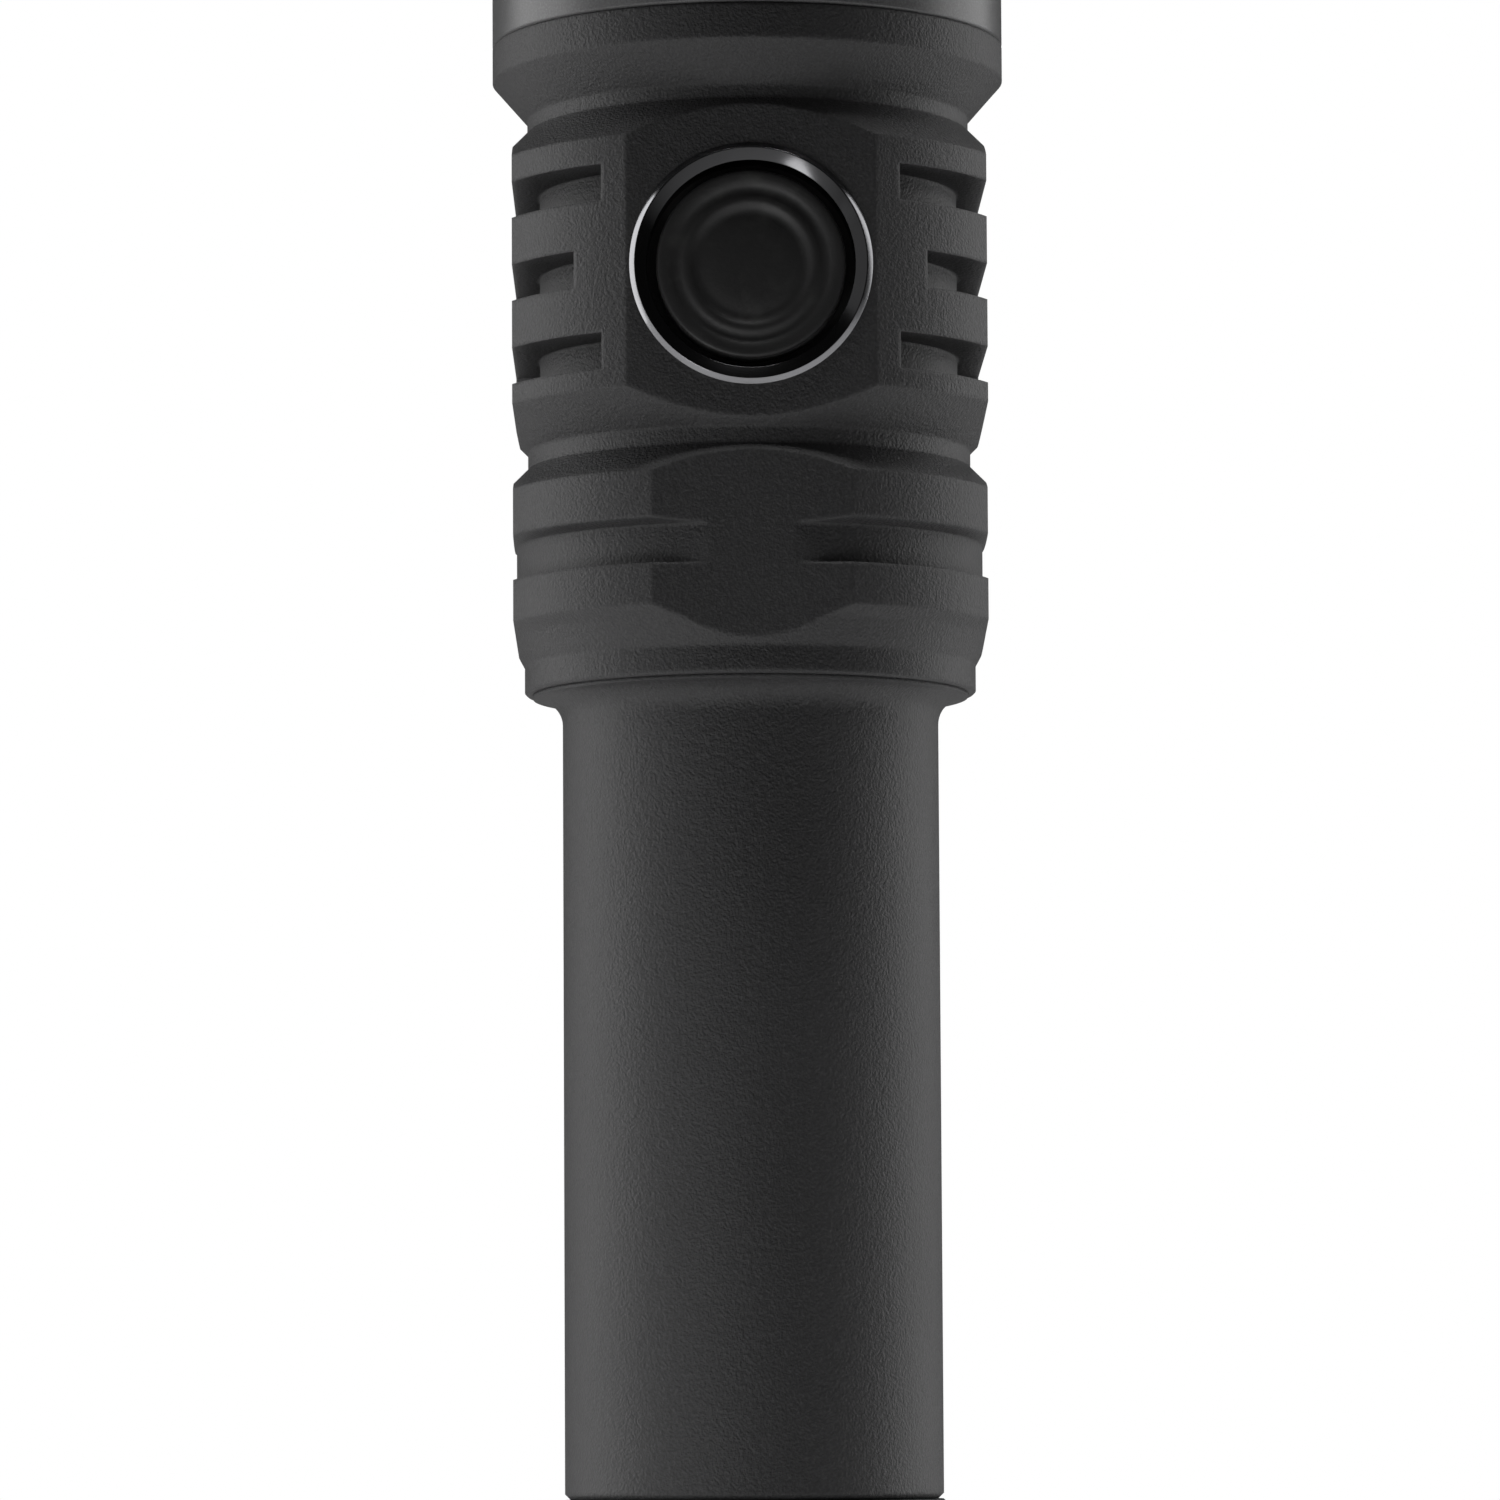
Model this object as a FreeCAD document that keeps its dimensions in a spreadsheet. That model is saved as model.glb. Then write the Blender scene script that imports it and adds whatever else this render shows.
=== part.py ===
import FreeCAD, Part
import math
import os

import Sketcher
from FreeCAD import Placement, Rotation, Vector

# A tactical flashlight standing on its tail: +Z runs up the axis to the light,
# the side switch faces -Y, and the origin is the middle of the tail's flat base.
# Threads are rings of the thread's depth and pitch.

# Driving dimensions, in millimetres, with angles in degrees from the front.
DRIVING = {
    # cell
    "cell_radius": 10.5,
    "cell_length": 70.0,
    "cell_cap_radius": 4.6,
    "cell_cap_rise": 0.8,
    "wrap_thickness": 0.2,
    "cell_gap": 0.3,
    # tail cap
    "tail_length": 17.6,
    "tail_wall": 1.3,
    "tail_floor": 3.2,
    "tail_edge": 1.0,
    "flute_count": 12,
    "flute_radius": 2.2,
    "flute_depth": 0.5,
    "flute_low": 3.0,
    "flute_high": 13.6,
    "tail_board_thickness": 1.2,
    "tail_ledge": 0.9,
    "ring_thickness": 1.2,
    "tail_ring_bore": 8.4,
    "spanner_hole_radius": 0.6,
    "spanner_hole_setback": 1.6,
    # contact springs, the same at both ends of the cell
    "spring_height": 5.1,
    "spring_wire": 0.4,
    "spring_reach": 4.8,
    "spring_turns": 3.5,
    # battery tube
    "tube_wall": 2.2,
    "tube_edge": 0.4,
    "tail_thread_wall": 1.2,
    "head_thread_wall": 1.9,
    "thread_depth": 0.35,
    "thread_pitch": 1.0,
    "thread_count": 7,
    "thread_gap": 0.08,
    "tube_end_gap": 0.3,
    "flange_overlap": 0.56,
    "flange_thickness": 0.28,
    "flange_fillet": 1.85,
    "seal_depth": 0.7,
    "seal_width": 1.1,
    "seal_setback": 0.8,
    "seal_stretch": 0.04,
    # lower head, from the bottom of its skirt up
    "driver_pad_radius": 5.6,
    "driver_pad_height": 1.4,
    "driver_recess": 12.97,
    "skirt_wall": 2.83,
    "skirt_height": 1.88,
    "skirt_flare": 0.49,
    "skirt_flare_rise": 0.27,
    "lower_taper": 1.45,
    "lower_taper_rise": 1.0,
    "lower_edge": 0.79,
    "lower_land_rise": 1.67,
    "band_setback": 2.81,
    "band_width": 2.98,
    "band_rise": 0.53,
    "waist_setback": 3.3,
    "waist_width": 1.12,
    "waist_sink": 0.26,
    "upper_land_rise": 2.39,
    "upper_length": 22.415,
    "neck_width": 0.9,
    "collar_rise": 2.15,
    "collar_slope": 2.75,
    "collar_height": 2.455,
    "edge_break": 0.15,
    # flats and slots of the lower head
    "front_flat_rise": 0.55,
    "side_flat_rise": 0.95,
    "side_taper_rise": 0.5,
    "slot_middle": 10.95,
    "slot_pitch": 5.75,
    "slot_height": 2.5,
    "slot_sink": 0.85,
    "slot_front_angle": 34.2,
    "slot_middle_angle": 41.8,
    "slot_side_end": 115.0,
    "slot_rib_angle": 10.0,
    # inside of the lower head
    "driver_thickness": 1.6,
    "driver_overlap": 1.0,
    "driver_gap": 0.2,
    "driver_ring_width": 2.8,
    "driver_ring_thickness": 1.8,
    "driver_room": 3.9,
    "coil_radius": 2.6,
    "coil_height": 3.0,
    "coil_reach": 3.4,
    "chip_width": 4.0,
    "chip_height": 1.0,
    "chip_reach": 3.6,
    "chip_shift": 1.0,
    "regulator_width": 3.0,
    "regulator_length": 5.0,
    "regulator_height": 1.4,
    "regulator_reach": 4.2,
    "regulator_shift": 1.6,
    "room_ledge": 1.3,
    "core_wall": 1.3,
    "cup_depth": 8.1,
    "shelf_thickness": 4.2,
    "cup_wall": 1.74,
    "lead_setback": 1.0,
    "lead_radius": 0.5,
    "lead_hole_gap": 0.15,
    "led_screw_reach": 6.8,
    # switch, depths from the flat that it sits in
    "switch_rim_radius": 8.24,
    "switch_rim_rise": 0.42,
    "switch_rim_edge": 0.35,
    "switch_lip_radius": 7.05,
    "switch_lip_drop": 1.0,
    "switch_bore_radius": 7.6,
    "switch_depth": 6.6,
    "boot_radius": 6.42,
    "boot_dish_radius": 3.7,
    "boot_crest_radius": 4.05,
    "boot_sink": 0.1,
    "boot_groove_width": 0.9,
    "boot_groove_depth": 0.2,
    "boot_edge": 0.45,
    "boot_dish_depth": 0.45,
    "boot_flange": 0.55,
    "boot_seat": 2.5,
    "button_travel": 0.4,
    "switch_board_thickness": 1.0,
    "switch_body_width": 4.6,
    "switch_body_height": 1.5,
    "plunger_radius": 1.0,
    "button_disc_radius": 4.6,
    "button_disc_sink": 2.0,
    "button_disc_gap": 0.1,
    "plunger_flange": 0.4,
    "switch_leg_gap": 0.4,
    "switch_well_floor": 0.3,
    "spacer_bore_gap": 0.4,
    "switch_wire_radius": 0.35,
    "switch_wire_spread": 0.7,
    "switch_wire_bend": 1.5,
    "switch_wire_run": 3.6,
    # light engine
    "led_board_thickness": 1.6,
    "led_board_gap": 0.9,
    "led_width": 5.0,
    "led_height": 0.7,
    "dome_radius": 2.2,
    "dome_height": 1.0,
    "centering_height": 0.8,
    "centering_bore": 3.7,
    "reflector_depth": 22.9,
    "reflector_wall": 1.2,
    "reflector_rim": 1.2,
    "reflector_margin": 1.27,
    "screw_head_radius": 1.8,
    "screw_head_height": 1.1,
    "screw_radius": 0.8,
    "screw_length": 3.0,
    # upper head and bezel
    "spigot_wall": 1.3,
    "collar_ring_height": 3.5,
    "groove_depth": 0.55,
    "groove_height": 1.1,
    "groove_pitch": 2.6,
    "face_rise": 2.54,
    "flare_height": 4.3,
    "face_wall": 2.75,
    "lens_gap": 0.15,
    "lens_thickness": 2.0,
    "lens_seal": 0.4,
    "bezel_thread_wall": 1.7,
    "bezel_barrel": 1.7,
    "bezel_height": 3.0,
    "bezel_lip": 1.65,
    "notch_count": 6,
    "notch_width": 7.0,
    "notch_depth": 1.2,
}


class Size:
    """A size that carries its number and the expression that gives it."""

    def __init__(self, value, text):
        self.value = float(value)
        self.text = text

    def joined(self, sign, other, value):
        return Size(value, f"({self.text} {sign} {text_of(other)})")

    def __add__(self, other):
        return self.joined("+", other, self.value + number(other))

    def __sub__(self, other):
        return self.joined("-", other, self.value - number(other))

    def __mul__(self, other):
        return self.joined("*", other, self.value * number(other))

    def __truediv__(self, other):
        return self.joined("/", other, self.value / number(other))

    def __neg__(self):
        return Size(-self.value, f"(0 - {self.text})")


def number(size):
    return size.value if isinstance(size, Size) else float(size)


def text_of(size):
    return size.text if isinstance(size, Size) else repr(float(size))


doc = FreeCAD.newDocument("flashlight")


class Cells:
    """The spreadsheet's values, each one a Size under its own alias."""


def fill_sheet():
    sheet = doc.addObject("Spreadsheet::Sheet", "Sizes")
    cells = Cells()
    for row, (alias, value) in enumerate(DRIVING.items(), start=1):
        sheet.set(f"A{row}", alias)
        sheet.set(f"B{row}", str(value))
        sheet.setAlias(f"B{row}", alias)
        setattr(cells, alias, Size(value, f"Sizes.{alias}"))
    doc.recompute()
    return cells


c = fill_sheet()


class Places:
    """Heights along the axis and radii from it, all worked out from the cells."""

    # tail cap, contact parts and cell, from the base up
    tail_board_top = c.tail_floor + c.tail_board_thickness
    tail_ring_top = tail_board_top + c.ring_thickness
    tube_low = tail_ring_top + c.tube_end_gap
    cell_low = tail_board_top + c.spring_height
    cell_high = cell_low + c.cell_length
    driver_pad_low = cell_high + c.spring_height
    driver_low = driver_pad_low + c.driver_pad_height
    driver_high = driver_low + c.driver_thickness
    base = driver_low - c.driver_recess
    driver_ring_low = driver_low - c.driver_ring_thickness
    tube_high = driver_ring_low
    seam = c.tail_length
    # heights of the lower head
    skirt_top = base + c.skirt_height
    taper_low = skirt_top + c.skirt_flare
    taper_high = taper_low + c.lower_taper
    lower_land_low = taper_high + c.lower_edge
    band_low = lower_land_low + c.band_setback
    band_high = band_low + c.band_width
    lower_land_high = band_high + c.waist_setback
    waist_low = lower_land_high + c.lower_land_rise + c.waist_sink
    waist_high = waist_low + c.waist_width
    upper_land_low = waist_high + c.upper_land_rise + c.waist_sink
    neck_low = waist_high + c.upper_length
    neck_high = neck_low + c.neck_width
    upper_land_high = neck_low - c.upper_land_rise - c.waist_sink
    collar = neck_high + c.collar_slope
    head_top = collar + c.collar_height
    room_top = driver_high + c.driver_room
    shelf_top = head_top - c.cup_depth
    shelf_low = shelf_top - c.shelf_thickness
    switch = waist_high + c.slot_middle
    # radii of the tube and its threads
    tube_bore = c.cell_radius + c.cell_gap
    tube_radius = tube_bore + c.tube_wall
    tail_thread = tube_bore + c.tail_thread_wall
    tail_bore = tail_thread + c.thread_gap
    tail_radius = tail_bore + c.tail_wall
    head_thread = tube_bore + c.head_thread_wall
    head_bore = head_thread + c.thread_gap
    # radii of the lower head
    skirt_radius = head_bore + c.skirt_wall
    flange_radius = skirt_radius - c.flange_overlap
    lower_land = skirt_radius + c.lower_land_rise
    waist_radius = skirt_radius - c.waist_sink
    upper_land = skirt_radius + c.upper_land_rise
    collar_radius = skirt_radius + c.collar_rise
    front_flat = waist_radius + c.front_flat_rise
    side_flat = waist_radius + c.side_flat_rise
    slot_floor = waist_radius - c.slot_sink
    cup_bore = waist_radius - c.cup_wall
    # light engine and upper head
    led_board_top = shelf_top + c.led_board_thickness
    focus = led_board_top + c.centering_height
    reflector_top = focus + c.reflector_depth
    lens_top = reflector_top + c.lens_thickness
    bezel_low = lens_top + c.lens_seal * 2
    bezel_seat = bezel_low + c.bezel_barrel
    bezel_top = bezel_seat + c.bezel_height
    spigot_radius = cup_bore - c.thread_gap
    spigot_bore = spigot_radius - c.spigot_wall
    face_radius = collar_radius + c.face_rise
    lens_bore = face_radius - c.face_wall
    lens_radius = lens_bore - c.lens_gap
    bezel_bore = face_radius - c.bezel_thread_wall
    bezel_thread = bezel_bore - c.thread_gap
    bezel_opening = lens_bore - c.bezel_lip
    # switch, measured outwards from the axis
    switch_floor = front_flat - c.switch_depth
    switch_board_top = switch_floor + c.switch_board_thickness
    switch_body_top = switch_board_top + c.switch_body_height
    boot_top = front_flat - c.boot_sink
    boot_flange_top = front_flat - c.boot_seat
    boot_low = boot_flange_top - c.boot_flange
    button_disc_top = front_flat - c.button_disc_sink
    # inside of the lower head, clear of the switch's pocket
    driver_radius = tube_bore + c.driver_overlap
    driver_ring_bore = driver_radius - c.driver_ring_width
    room_radius = driver_radius - c.room_ledge
    core_radius = switch_floor - c.core_wall
    lead_reach = core_radius - c.lead_setback


p = Places


def bind(thing, **properties):
    """Set each property to a number and, where it is a Size, to its expression."""
    for name, size in properties.items():
        setattr(thing, name, number(size))
        if isinstance(size, Size):
            thing.setExpression(name, size.text)


def own_plane(body, role):
    return next(item for item in body.Origin.OriginFeatures if item.Role == role)


def add_body(label):
    body = doc.addObject("PartDesign::Body", label)
    body.Label = label
    return body


def add_sketch(body, role, away=0, turn=0):
    """Sketch on one of the body's planes, moved away along its normal or turned about its upright."""
    sketch = body.newObject("Sketcher::SketchObject", "Sketch")
    sketch.AttachmentSupport = (own_plane(body, role), [""])
    sketch.MapMode = "FlatFace"
    spin = Rotation(Vector(0, 1, 0), number(turn))
    sketch.AttachmentOffset = Placement(Vector(0, 0, number(away)), spin)
    if isinstance(away, Size):
        sketch.setExpression("AttachmentOffset.Base.z", away.text)
    if isinstance(turn, Size):
        sketch.setExpression("AttachmentOffset.Rotation.Angle", turn.text)
    return sketch


def fix_point(sketch, geometry, end, across, up):
    """Hold one end of a line or arc at its two distances from the sketch's origin."""
    for kind, size, axis in (("DistanceX", across, -2), ("DistanceY", up, -1)):
        if number(size) == 0:
            sketch.addConstraint(Sketcher.Constraint("PointOnObject", geometry, end, axis))
            continue
        rule = Sketcher.Constraint(kind, -1, 1, geometry, end, number(size))
        index = sketch.addConstraint(rule)
        if isinstance(size, Size):
            sketch.setExpression(f"Constraints[{index}]", size.text)


def arc_between(start, end, radius, left):
    """Arc of this radius from start to end, bending to the left or to the right."""
    chord = end - start
    rise = math.sqrt(max(radius**2 - (chord.Length / 2) ** 2, 0.0))
    side = Vector(-chord.y, chord.x, 0).normalize() * (rise if left else -rise)
    centre = (start + end) / 2 + side
    first, last = (start, end) if left else (end, start)
    angles = [math.atan2(point.y - centre.y, point.x - centre.x) for point in (first, last)]
    return Part.ArcOfCircle(Part.Circle(centre, Vector(0, 0, 1), radius), *angles)


def draw_outline(sketch, corners):
    """Closed outline through corners (across, up). A third item is the radius of the arc
    to the next corner and a fourth says whether that arc bends to the left."""
    points = [Vector(number(corner[0]), number(corner[1]), 0) for corner in corners]
    ends = []
    for index, corner in enumerate(corners):
        start = points[index]
        end = points[(index + 1) % len(points)]
        if len(corner) == 2:
            sketch.addGeometry(Part.LineSegment(start, end), False)
            ends.append((1, 2))
        else:
            sketch.addGeometry(arc_between(start, end, number(corner[2]), corner[3]), False)
            ends.append((1, 2) if corner[3] else (2, 1))
    for index, corner in enumerate(corners):
        after = (index + 1) % len(corners)
        joint = Sketcher.Constraint("Coincident", index, ends[index][1], after, ends[after][0])
        sketch.addConstraint(joint)
        fix_point(sketch, index, ends[index][0], corner[0], corner[1])
        if len(corner) > 2:
            rule = sketch.addConstraint(Sketcher.Constraint("Radius", index, number(corner[2])))
            sketch.setExpression(f"Constraints[{rule}]", text_of(corner[2]))


def draw_circle(sketch, across, up, radius):
    centre = Vector(number(across), number(up), 0)
    index = sketch.addGeometry(Part.Circle(centre, Vector(0, 0, 1), number(radius)), False)
    fix_point(sketch, index, 3, across, up)
    rule = sketch.addConstraint(Sketcher.Constraint("Radius", index, number(radius)))
    sketch.setExpression(f"Constraints[{rule}]", text_of(radius))


def add_feature(body, kind, sketch, **properties):
    feature = body.newObject(f"PartDesign::{kind}", kind)
    feature.Profile = sketch
    bind(feature, **properties)
    body.Tip = feature
    return feature


def spin_profile(body, kind, corners, angle=360, turn=0):
    """Revolution or Groove of an outline in the upright plane about the body's Z axis."""
    sketch = add_sketch(body, "XZ_Plane", turn=turn)
    draw_outline(sketch, corners)
    feature = add_feature(body, kind, sketch, Angle=angle)
    feature.ReferenceAxis = (sketch, ["V_Axis"])
    feature.Midplane = number(angle) < 360
    return feature


def turned(label, corners):
    """A piece turned on a lathe: its half section, as (radius, height) corners, spun once."""
    body = add_body(label)
    spin_profile(body, "Revolution", corners)
    return body


def tube_piece(label, inner, outer, low, high):
    """A plain ring or disc with square edges."""
    return turned(label, [(inner, low), (outer, low), (outer, high), (inner, high)])


def ring_groove(body, floor, reach, low, high):
    return spin_profile(body, "Groove", [(floor, low), (reach, low), (reach, high), (floor, high)])


def repeat_along(body, feature, pitch, count):
    """Copies of a feature up the body's Z axis."""
    pattern = body.newObject("PartDesign::LinearPattern", "LinearPattern")
    pattern.Originals = [feature]
    pattern.Direction = (feature.Profile[0], ["V_Axis"])
    bind(pattern, Length=pitch * (count - 1))
    pattern.Occurrences = int(number(count))
    pattern.setExpression("Occurrences", text_of(count))
    body.Tip = pattern


def repeat_around(body, feature, count, total):
    """Copies of a feature about the body's Z axis, spread over an angle."""
    pattern = body.newObject("PartDesign::PolarPattern", "PolarPattern")
    pattern.Originals = [feature]
    pattern.Axis = (own_plane(body, "Z_Axis"), [""])
    bind(pattern, Angle=total)
    pattern.Occurrences = int(number(count))
    pattern.setExpression("Occurrences", text_of(count))
    body.Tip = pattern


def mirror_across(body, features, role):
    mirror = body.newObject("PartDesign::Mirrored", "Mirrored")
    mirror.Originals = features
    mirror.MirrorPlane = (own_plane(body, role), [""])
    body.Tip = mirror


def cut_threads(body, crest, low, count):
    """Ring-shaped thread grooves with sloping flanks, one pitch apart."""
    half = c.thread_pitch * 0.42
    floor = crest - c.thread_depth
    groove = spin_profile(body, "Groove", [
        (floor, low + half * 0.7), (crest + 0.5, low - half * 0.7),
        (crest + 0.5, low + half * 2.7), (floor, low + half * 1.3),
    ])
    repeat_along(body, groove, c.thread_pitch, count)


def face_sideways(body, height):
    """Turn a piece made about +Z so that its axis leaves the head towards -Y at this height."""
    body.Placement = Placement(Vector(0, 0, number(height)), Rotation(Vector(1, 0, 0), 90))
    body.setExpression("Placement.Base.z", height.text)


def make_tailcap():
    body = turned("tailcap", [
        (0, 0), (p.tail_radius - c.tail_edge, 0), (p.tail_radius, c.tail_edge),
        (p.tail_radius, p.seam - c.tube_edge), (p.tail_radius - c.tube_edge, p.seam),
        (p.tail_bore, p.seam), (p.tail_bore, p.tail_board_top),
        (p.tail_bore - c.tail_ledge, p.tail_board_top), (p.tail_bore - c.tail_ledge, c.tail_floor),
        (0, c.tail_floor),
    ])
    sketch = add_sketch(body, "XY_Plane", away=c.flute_low)
    draw_circle(sketch, p.tail_radius + c.flute_radius - c.flute_depth, 0, c.flute_radius)
    flute = add_feature(body, "Pocket", sketch, Length=c.flute_high - c.flute_low)
    flute.Reversed = True
    repeat_around(body, flute, c.flute_count, 360)


def make_spring(label, foot):
    """Coiled contact spring that stands on its foot."""
    wire = number(c.spring_wire)
    rise = number(c.spring_height) - 2 * wire
    pitch = rise / number(c.spring_turns)
    start = Vector(number(c.spring_reach), 0, 0)
    path = Part.Wire(Part.makeHelix(pitch, rise, start.x).Edges)
    section = Part.Wire(Part.makeCircle(wire, start, Vector(0, start.x * 2 * math.pi, pitch)))
    spring = doc.addObject("Part::Feature", label)
    spring.Label = label
    spring.Shape = path.makePipeShell([section], True, True)
    spring.Placement = Placement(Vector(0, 0, number(foot) + wire), Rotation())


def drill_spanner_holes(ring, bore, top, depth):
    """Two holes that a pin spanner turns the ring by."""
    sketch = add_sketch(ring, "XY_Plane", away=top)
    draw_circle(sketch, bore + c.spanner_hole_setback, 0, c.spanner_hole_radius)
    hole = add_feature(ring, "Pocket", sketch, Length=depth)
    repeat_around(ring, hole, 2, 180)


def make_tail_contacts():
    board_radius = p.tail_bore - c.tail_ledge - c.driver_gap
    board_top = p.tail_board_top
    tube_piece("tail_contact_board", 0, board_radius, c.tail_floor, board_top)
    ring = tube_piece("tail_retaining_ring", c.tail_ring_bore, p.tail_thread, board_top, p.tail_ring_top)
    drill_spanner_holes(ring, c.tail_ring_bore, p.tail_ring_top, c.ring_thickness)
    make_spring("tail_spring", board_top)


def make_battery_tube():
    flange_low = p.base - c.flange_thickness
    body = turned("battery_tube", [
        (p.tube_bore, p.tube_low), (p.tail_thread - c.tube_edge, p.tube_low),
        (p.tail_thread, p.tube_low + c.tube_edge), (p.tail_thread, p.seam),
        (p.tube_radius - c.tube_edge, p.seam), (p.tube_radius, p.seam + c.tube_edge),
        (p.tube_radius, flange_low - c.flange_fillet, c.flange_fillet, False),
        (p.tube_radius + c.flange_fillet, flange_low), (p.flange_radius, flange_low),
        (p.flange_radius, p.base), (p.head_thread, p.base),
        (p.head_thread, p.tube_high - c.tube_edge), (p.head_thread - c.tube_edge, p.tube_high),
        (p.tube_bore, p.tube_high),
    ])
    tail_seal = p.seam - c.seal_setback - c.seal_width
    head_seal = p.base + c.seal_setback
    for crest, low in ((p.tail_thread, tail_seal), (p.head_thread, head_seal)):
        ring_groove(body, crest - c.seal_depth, crest + 0.5, low, low + c.seal_width)
    cut_threads(body, p.tail_thread, p.tube_low + c.thread_pitch, c.thread_count)
    cut_threads(body, p.head_thread, head_seal + c.seal_width + c.thread_pitch, c.thread_count)
    make_seal("rear_o_ring", p.tail_thread - c.seal_depth, tail_seal + c.seal_width / 2)
    make_seal("front_o_ring", p.head_thread - c.seal_depth, head_seal + c.seal_width / 2)


def make_seal(label, floor, height):
    """O-ring that sits in a groove and stands just short of the bore around it."""
    ring = doc.addObject("Part::Torus", label)
    ring.Label = label
    thickness = (c.seal_depth + c.seal_stretch) / 2
    bind(ring, Radius1=floor + thickness, Radius2=thickness)
    ring.setExpression("Placement.Base.z", height.text)


def make_cell():
    can_radius = c.cell_radius - c.wrap_thickness
    can_high = p.cell_high - c.cell_cap_rise
    bead = c.wrap_thickness * 2
    turned("battery_can", [
        (0, p.cell_low), (can_radius - bead, p.cell_low), (can_radius, p.cell_low + bead),
        (can_radius, can_high - bead), (can_radius - bead, can_high), (0, can_high),
    ])
    tube_piece("battery_wrap", can_radius, c.cell_radius, p.cell_low + bead, can_high - bead)
    tube_piece("battery_insulator", c.cell_cap_radius, can_radius - bead, can_high,
               can_high + c.wrap_thickness)
    turned("battery_positive_cap", [
        (0, can_high), (c.cell_cap_radius, can_high), (c.cell_cap_radius, p.cell_high - c.wrap_thickness),
        (c.cell_cap_radius - c.wrap_thickness, p.cell_high), (0, p.cell_high),
    ])


def mill_flat(body, distance, low, high, front):
    """Flat across the front or back of the head, at this distance from the axis."""
    stock = p.upper_land
    sketch = add_sketch(body, "XZ_Plane", away=distance if front else -distance)
    draw_outline(sketch, [(-stock, low), (stock, low), (stock, high), (-stock, high)])
    cut = add_feature(body, "Pocket", sketch, Length=p.upper_land)
    cut.Reversed = front


def mill_sides(body, low, high):
    """Side flats, which lean in at the lower end of each land."""
    stock = p.upper_land * 1.5
    narrow = p.side_flat - c.side_taper_rise
    waist = (p.waist_low + p.waist_high) / 2
    sketch = add_sketch(body, "XZ_Plane")
    draw_outline(sketch, [
        (narrow + 0.1, low), (stock, low), (stock, high), (p.side_flat, high),
        (p.side_flat, p.upper_land_low), (narrow, p.waist_high), (narrow, waist),
        (p.side_flat, waist), (p.side_flat, p.lower_land_low),
    ])
    cut = add_feature(body, "Pocket", sketch, Length=stock * 2)
    cut.SideType = "Symmetric"
    mirror_across(body, [cut], "YZ_Plane")


def cut_slot(body, middle, first, last):
    """Cooling slot around part of the head, between two angles from the front."""
    low = middle - c.slot_height / 2
    high = middle + c.slot_height / 2
    outside = p.upper_land * 1.5
    direction = (first + last) / 2 - 90
    spin_profile(body, "Groove", [
        (p.slot_floor, low), (outside, low), (outside, high), (p.slot_floor, high),
    ], angle=last - first, turn=direction)


def cut_slots(body):
    rear_first = c.slot_side_end + c.slot_rib_angle
    for step in (-1, 0, 1):
        middle = p.switch + c.slot_pitch * step
        first = c.slot_middle_angle if step == 0 else c.slot_front_angle
        cut_slot(body, middle, first, c.slot_side_end)
        cut_slot(body, middle, -c.slot_side_end, -first)
        cut_slot(body, middle, rear_first, -rear_first + 360)


def bore_switch(body):
    """Switch pocket behind the front flat, with a passage for its wires into the core."""
    pocket = add_sketch(body, "XZ_Plane", away=p.front_flat)
    draw_circle(pocket, 0, p.switch, c.switch_bore_radius)
    add_feature(body, "Pocket", pocket, Length=c.switch_depth)
    passage = add_sketch(body, "XZ_Plane", away=p.switch_floor)
    draw_circle(passage, 0, p.switch, 1.6)
    add_feature(body, "Pocket", passage, Length=p.core_radius / 2)


def drill_shelf(body):
    """Holes through the shelf for the leads and blind ones for the screws."""
    leads = add_sketch(body, "XY_Plane", away=p.shelf_top)
    screws = add_sketch(body, "XY_Plane", away=p.shelf_top)
    for side in (-1, 1):
        draw_circle(leads, p.lead_reach * side, 0, c.lead_radius + c.lead_hole_gap)
        draw_circle(screws, c.led_screw_reach * side, c.led_screw_reach * side, c.screw_radius)
    add_feature(body, "Pocket", leads, Length=c.shelf_thickness)
    add_feature(body, "Pocket", screws, Length=c.screw_length)


def make_lower_head():
    edge = c.edge_break
    driver_bore = p.driver_radius + c.driver_gap
    body = turned("lower_head", [
        (p.head_bore, p.base), (p.skirt_radius - edge, p.base), (p.skirt_radius, p.base + edge),
        (p.skirt_radius, p.skirt_top), (p.skirt_radius + c.skirt_flare_rise, p.taper_low),
        (p.skirt_radius + c.lower_taper_rise, p.taper_high), (p.lower_land, p.lower_land_low),
        (p.lower_land, p.band_low), (p.skirt_radius + c.band_rise, p.band_low),
        (p.skirt_radius + c.band_rise, p.band_high - edge * 2),
        (p.lower_land - edge * 2, p.band_high), (p.lower_land, p.band_high + edge),
        (p.lower_land, p.lower_land_high), (p.waist_radius, p.waist_low),
        (p.waist_radius, p.waist_high), (p.upper_land, p.upper_land_low),
        (p.upper_land, p.upper_land_high), (p.waist_radius, p.neck_low), (p.waist_radius, p.neck_high),
        (p.collar_radius, p.collar), (p.collar_radius, p.head_top - edge),
        (p.collar_radius - edge, p.head_top), (p.cup_bore, p.head_top),
        (p.cup_bore, p.shelf_top), (0, p.shelf_top), (0, p.shelf_low),
        (p.core_radius, p.shelf_low), (p.core_radius, p.room_top), (p.room_radius, p.room_top),
        (p.room_radius, p.driver_high), (driver_bore, p.driver_high),
        (driver_bore, p.driver_ring_low), (p.head_bore, p.driver_ring_low),
    ])
    neck = (p.neck_low + p.neck_high) / 2
    mill_flat(body, p.front_flat, p.skirt_top, neck, True)
    mill_flat(body, p.front_flat, p.skirt_top, neck, False)
    mill_sides(body, p.skirt_top, neck)
    cut_slots(body)
    bore_switch(body)
    drill_shelf(body)


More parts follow.
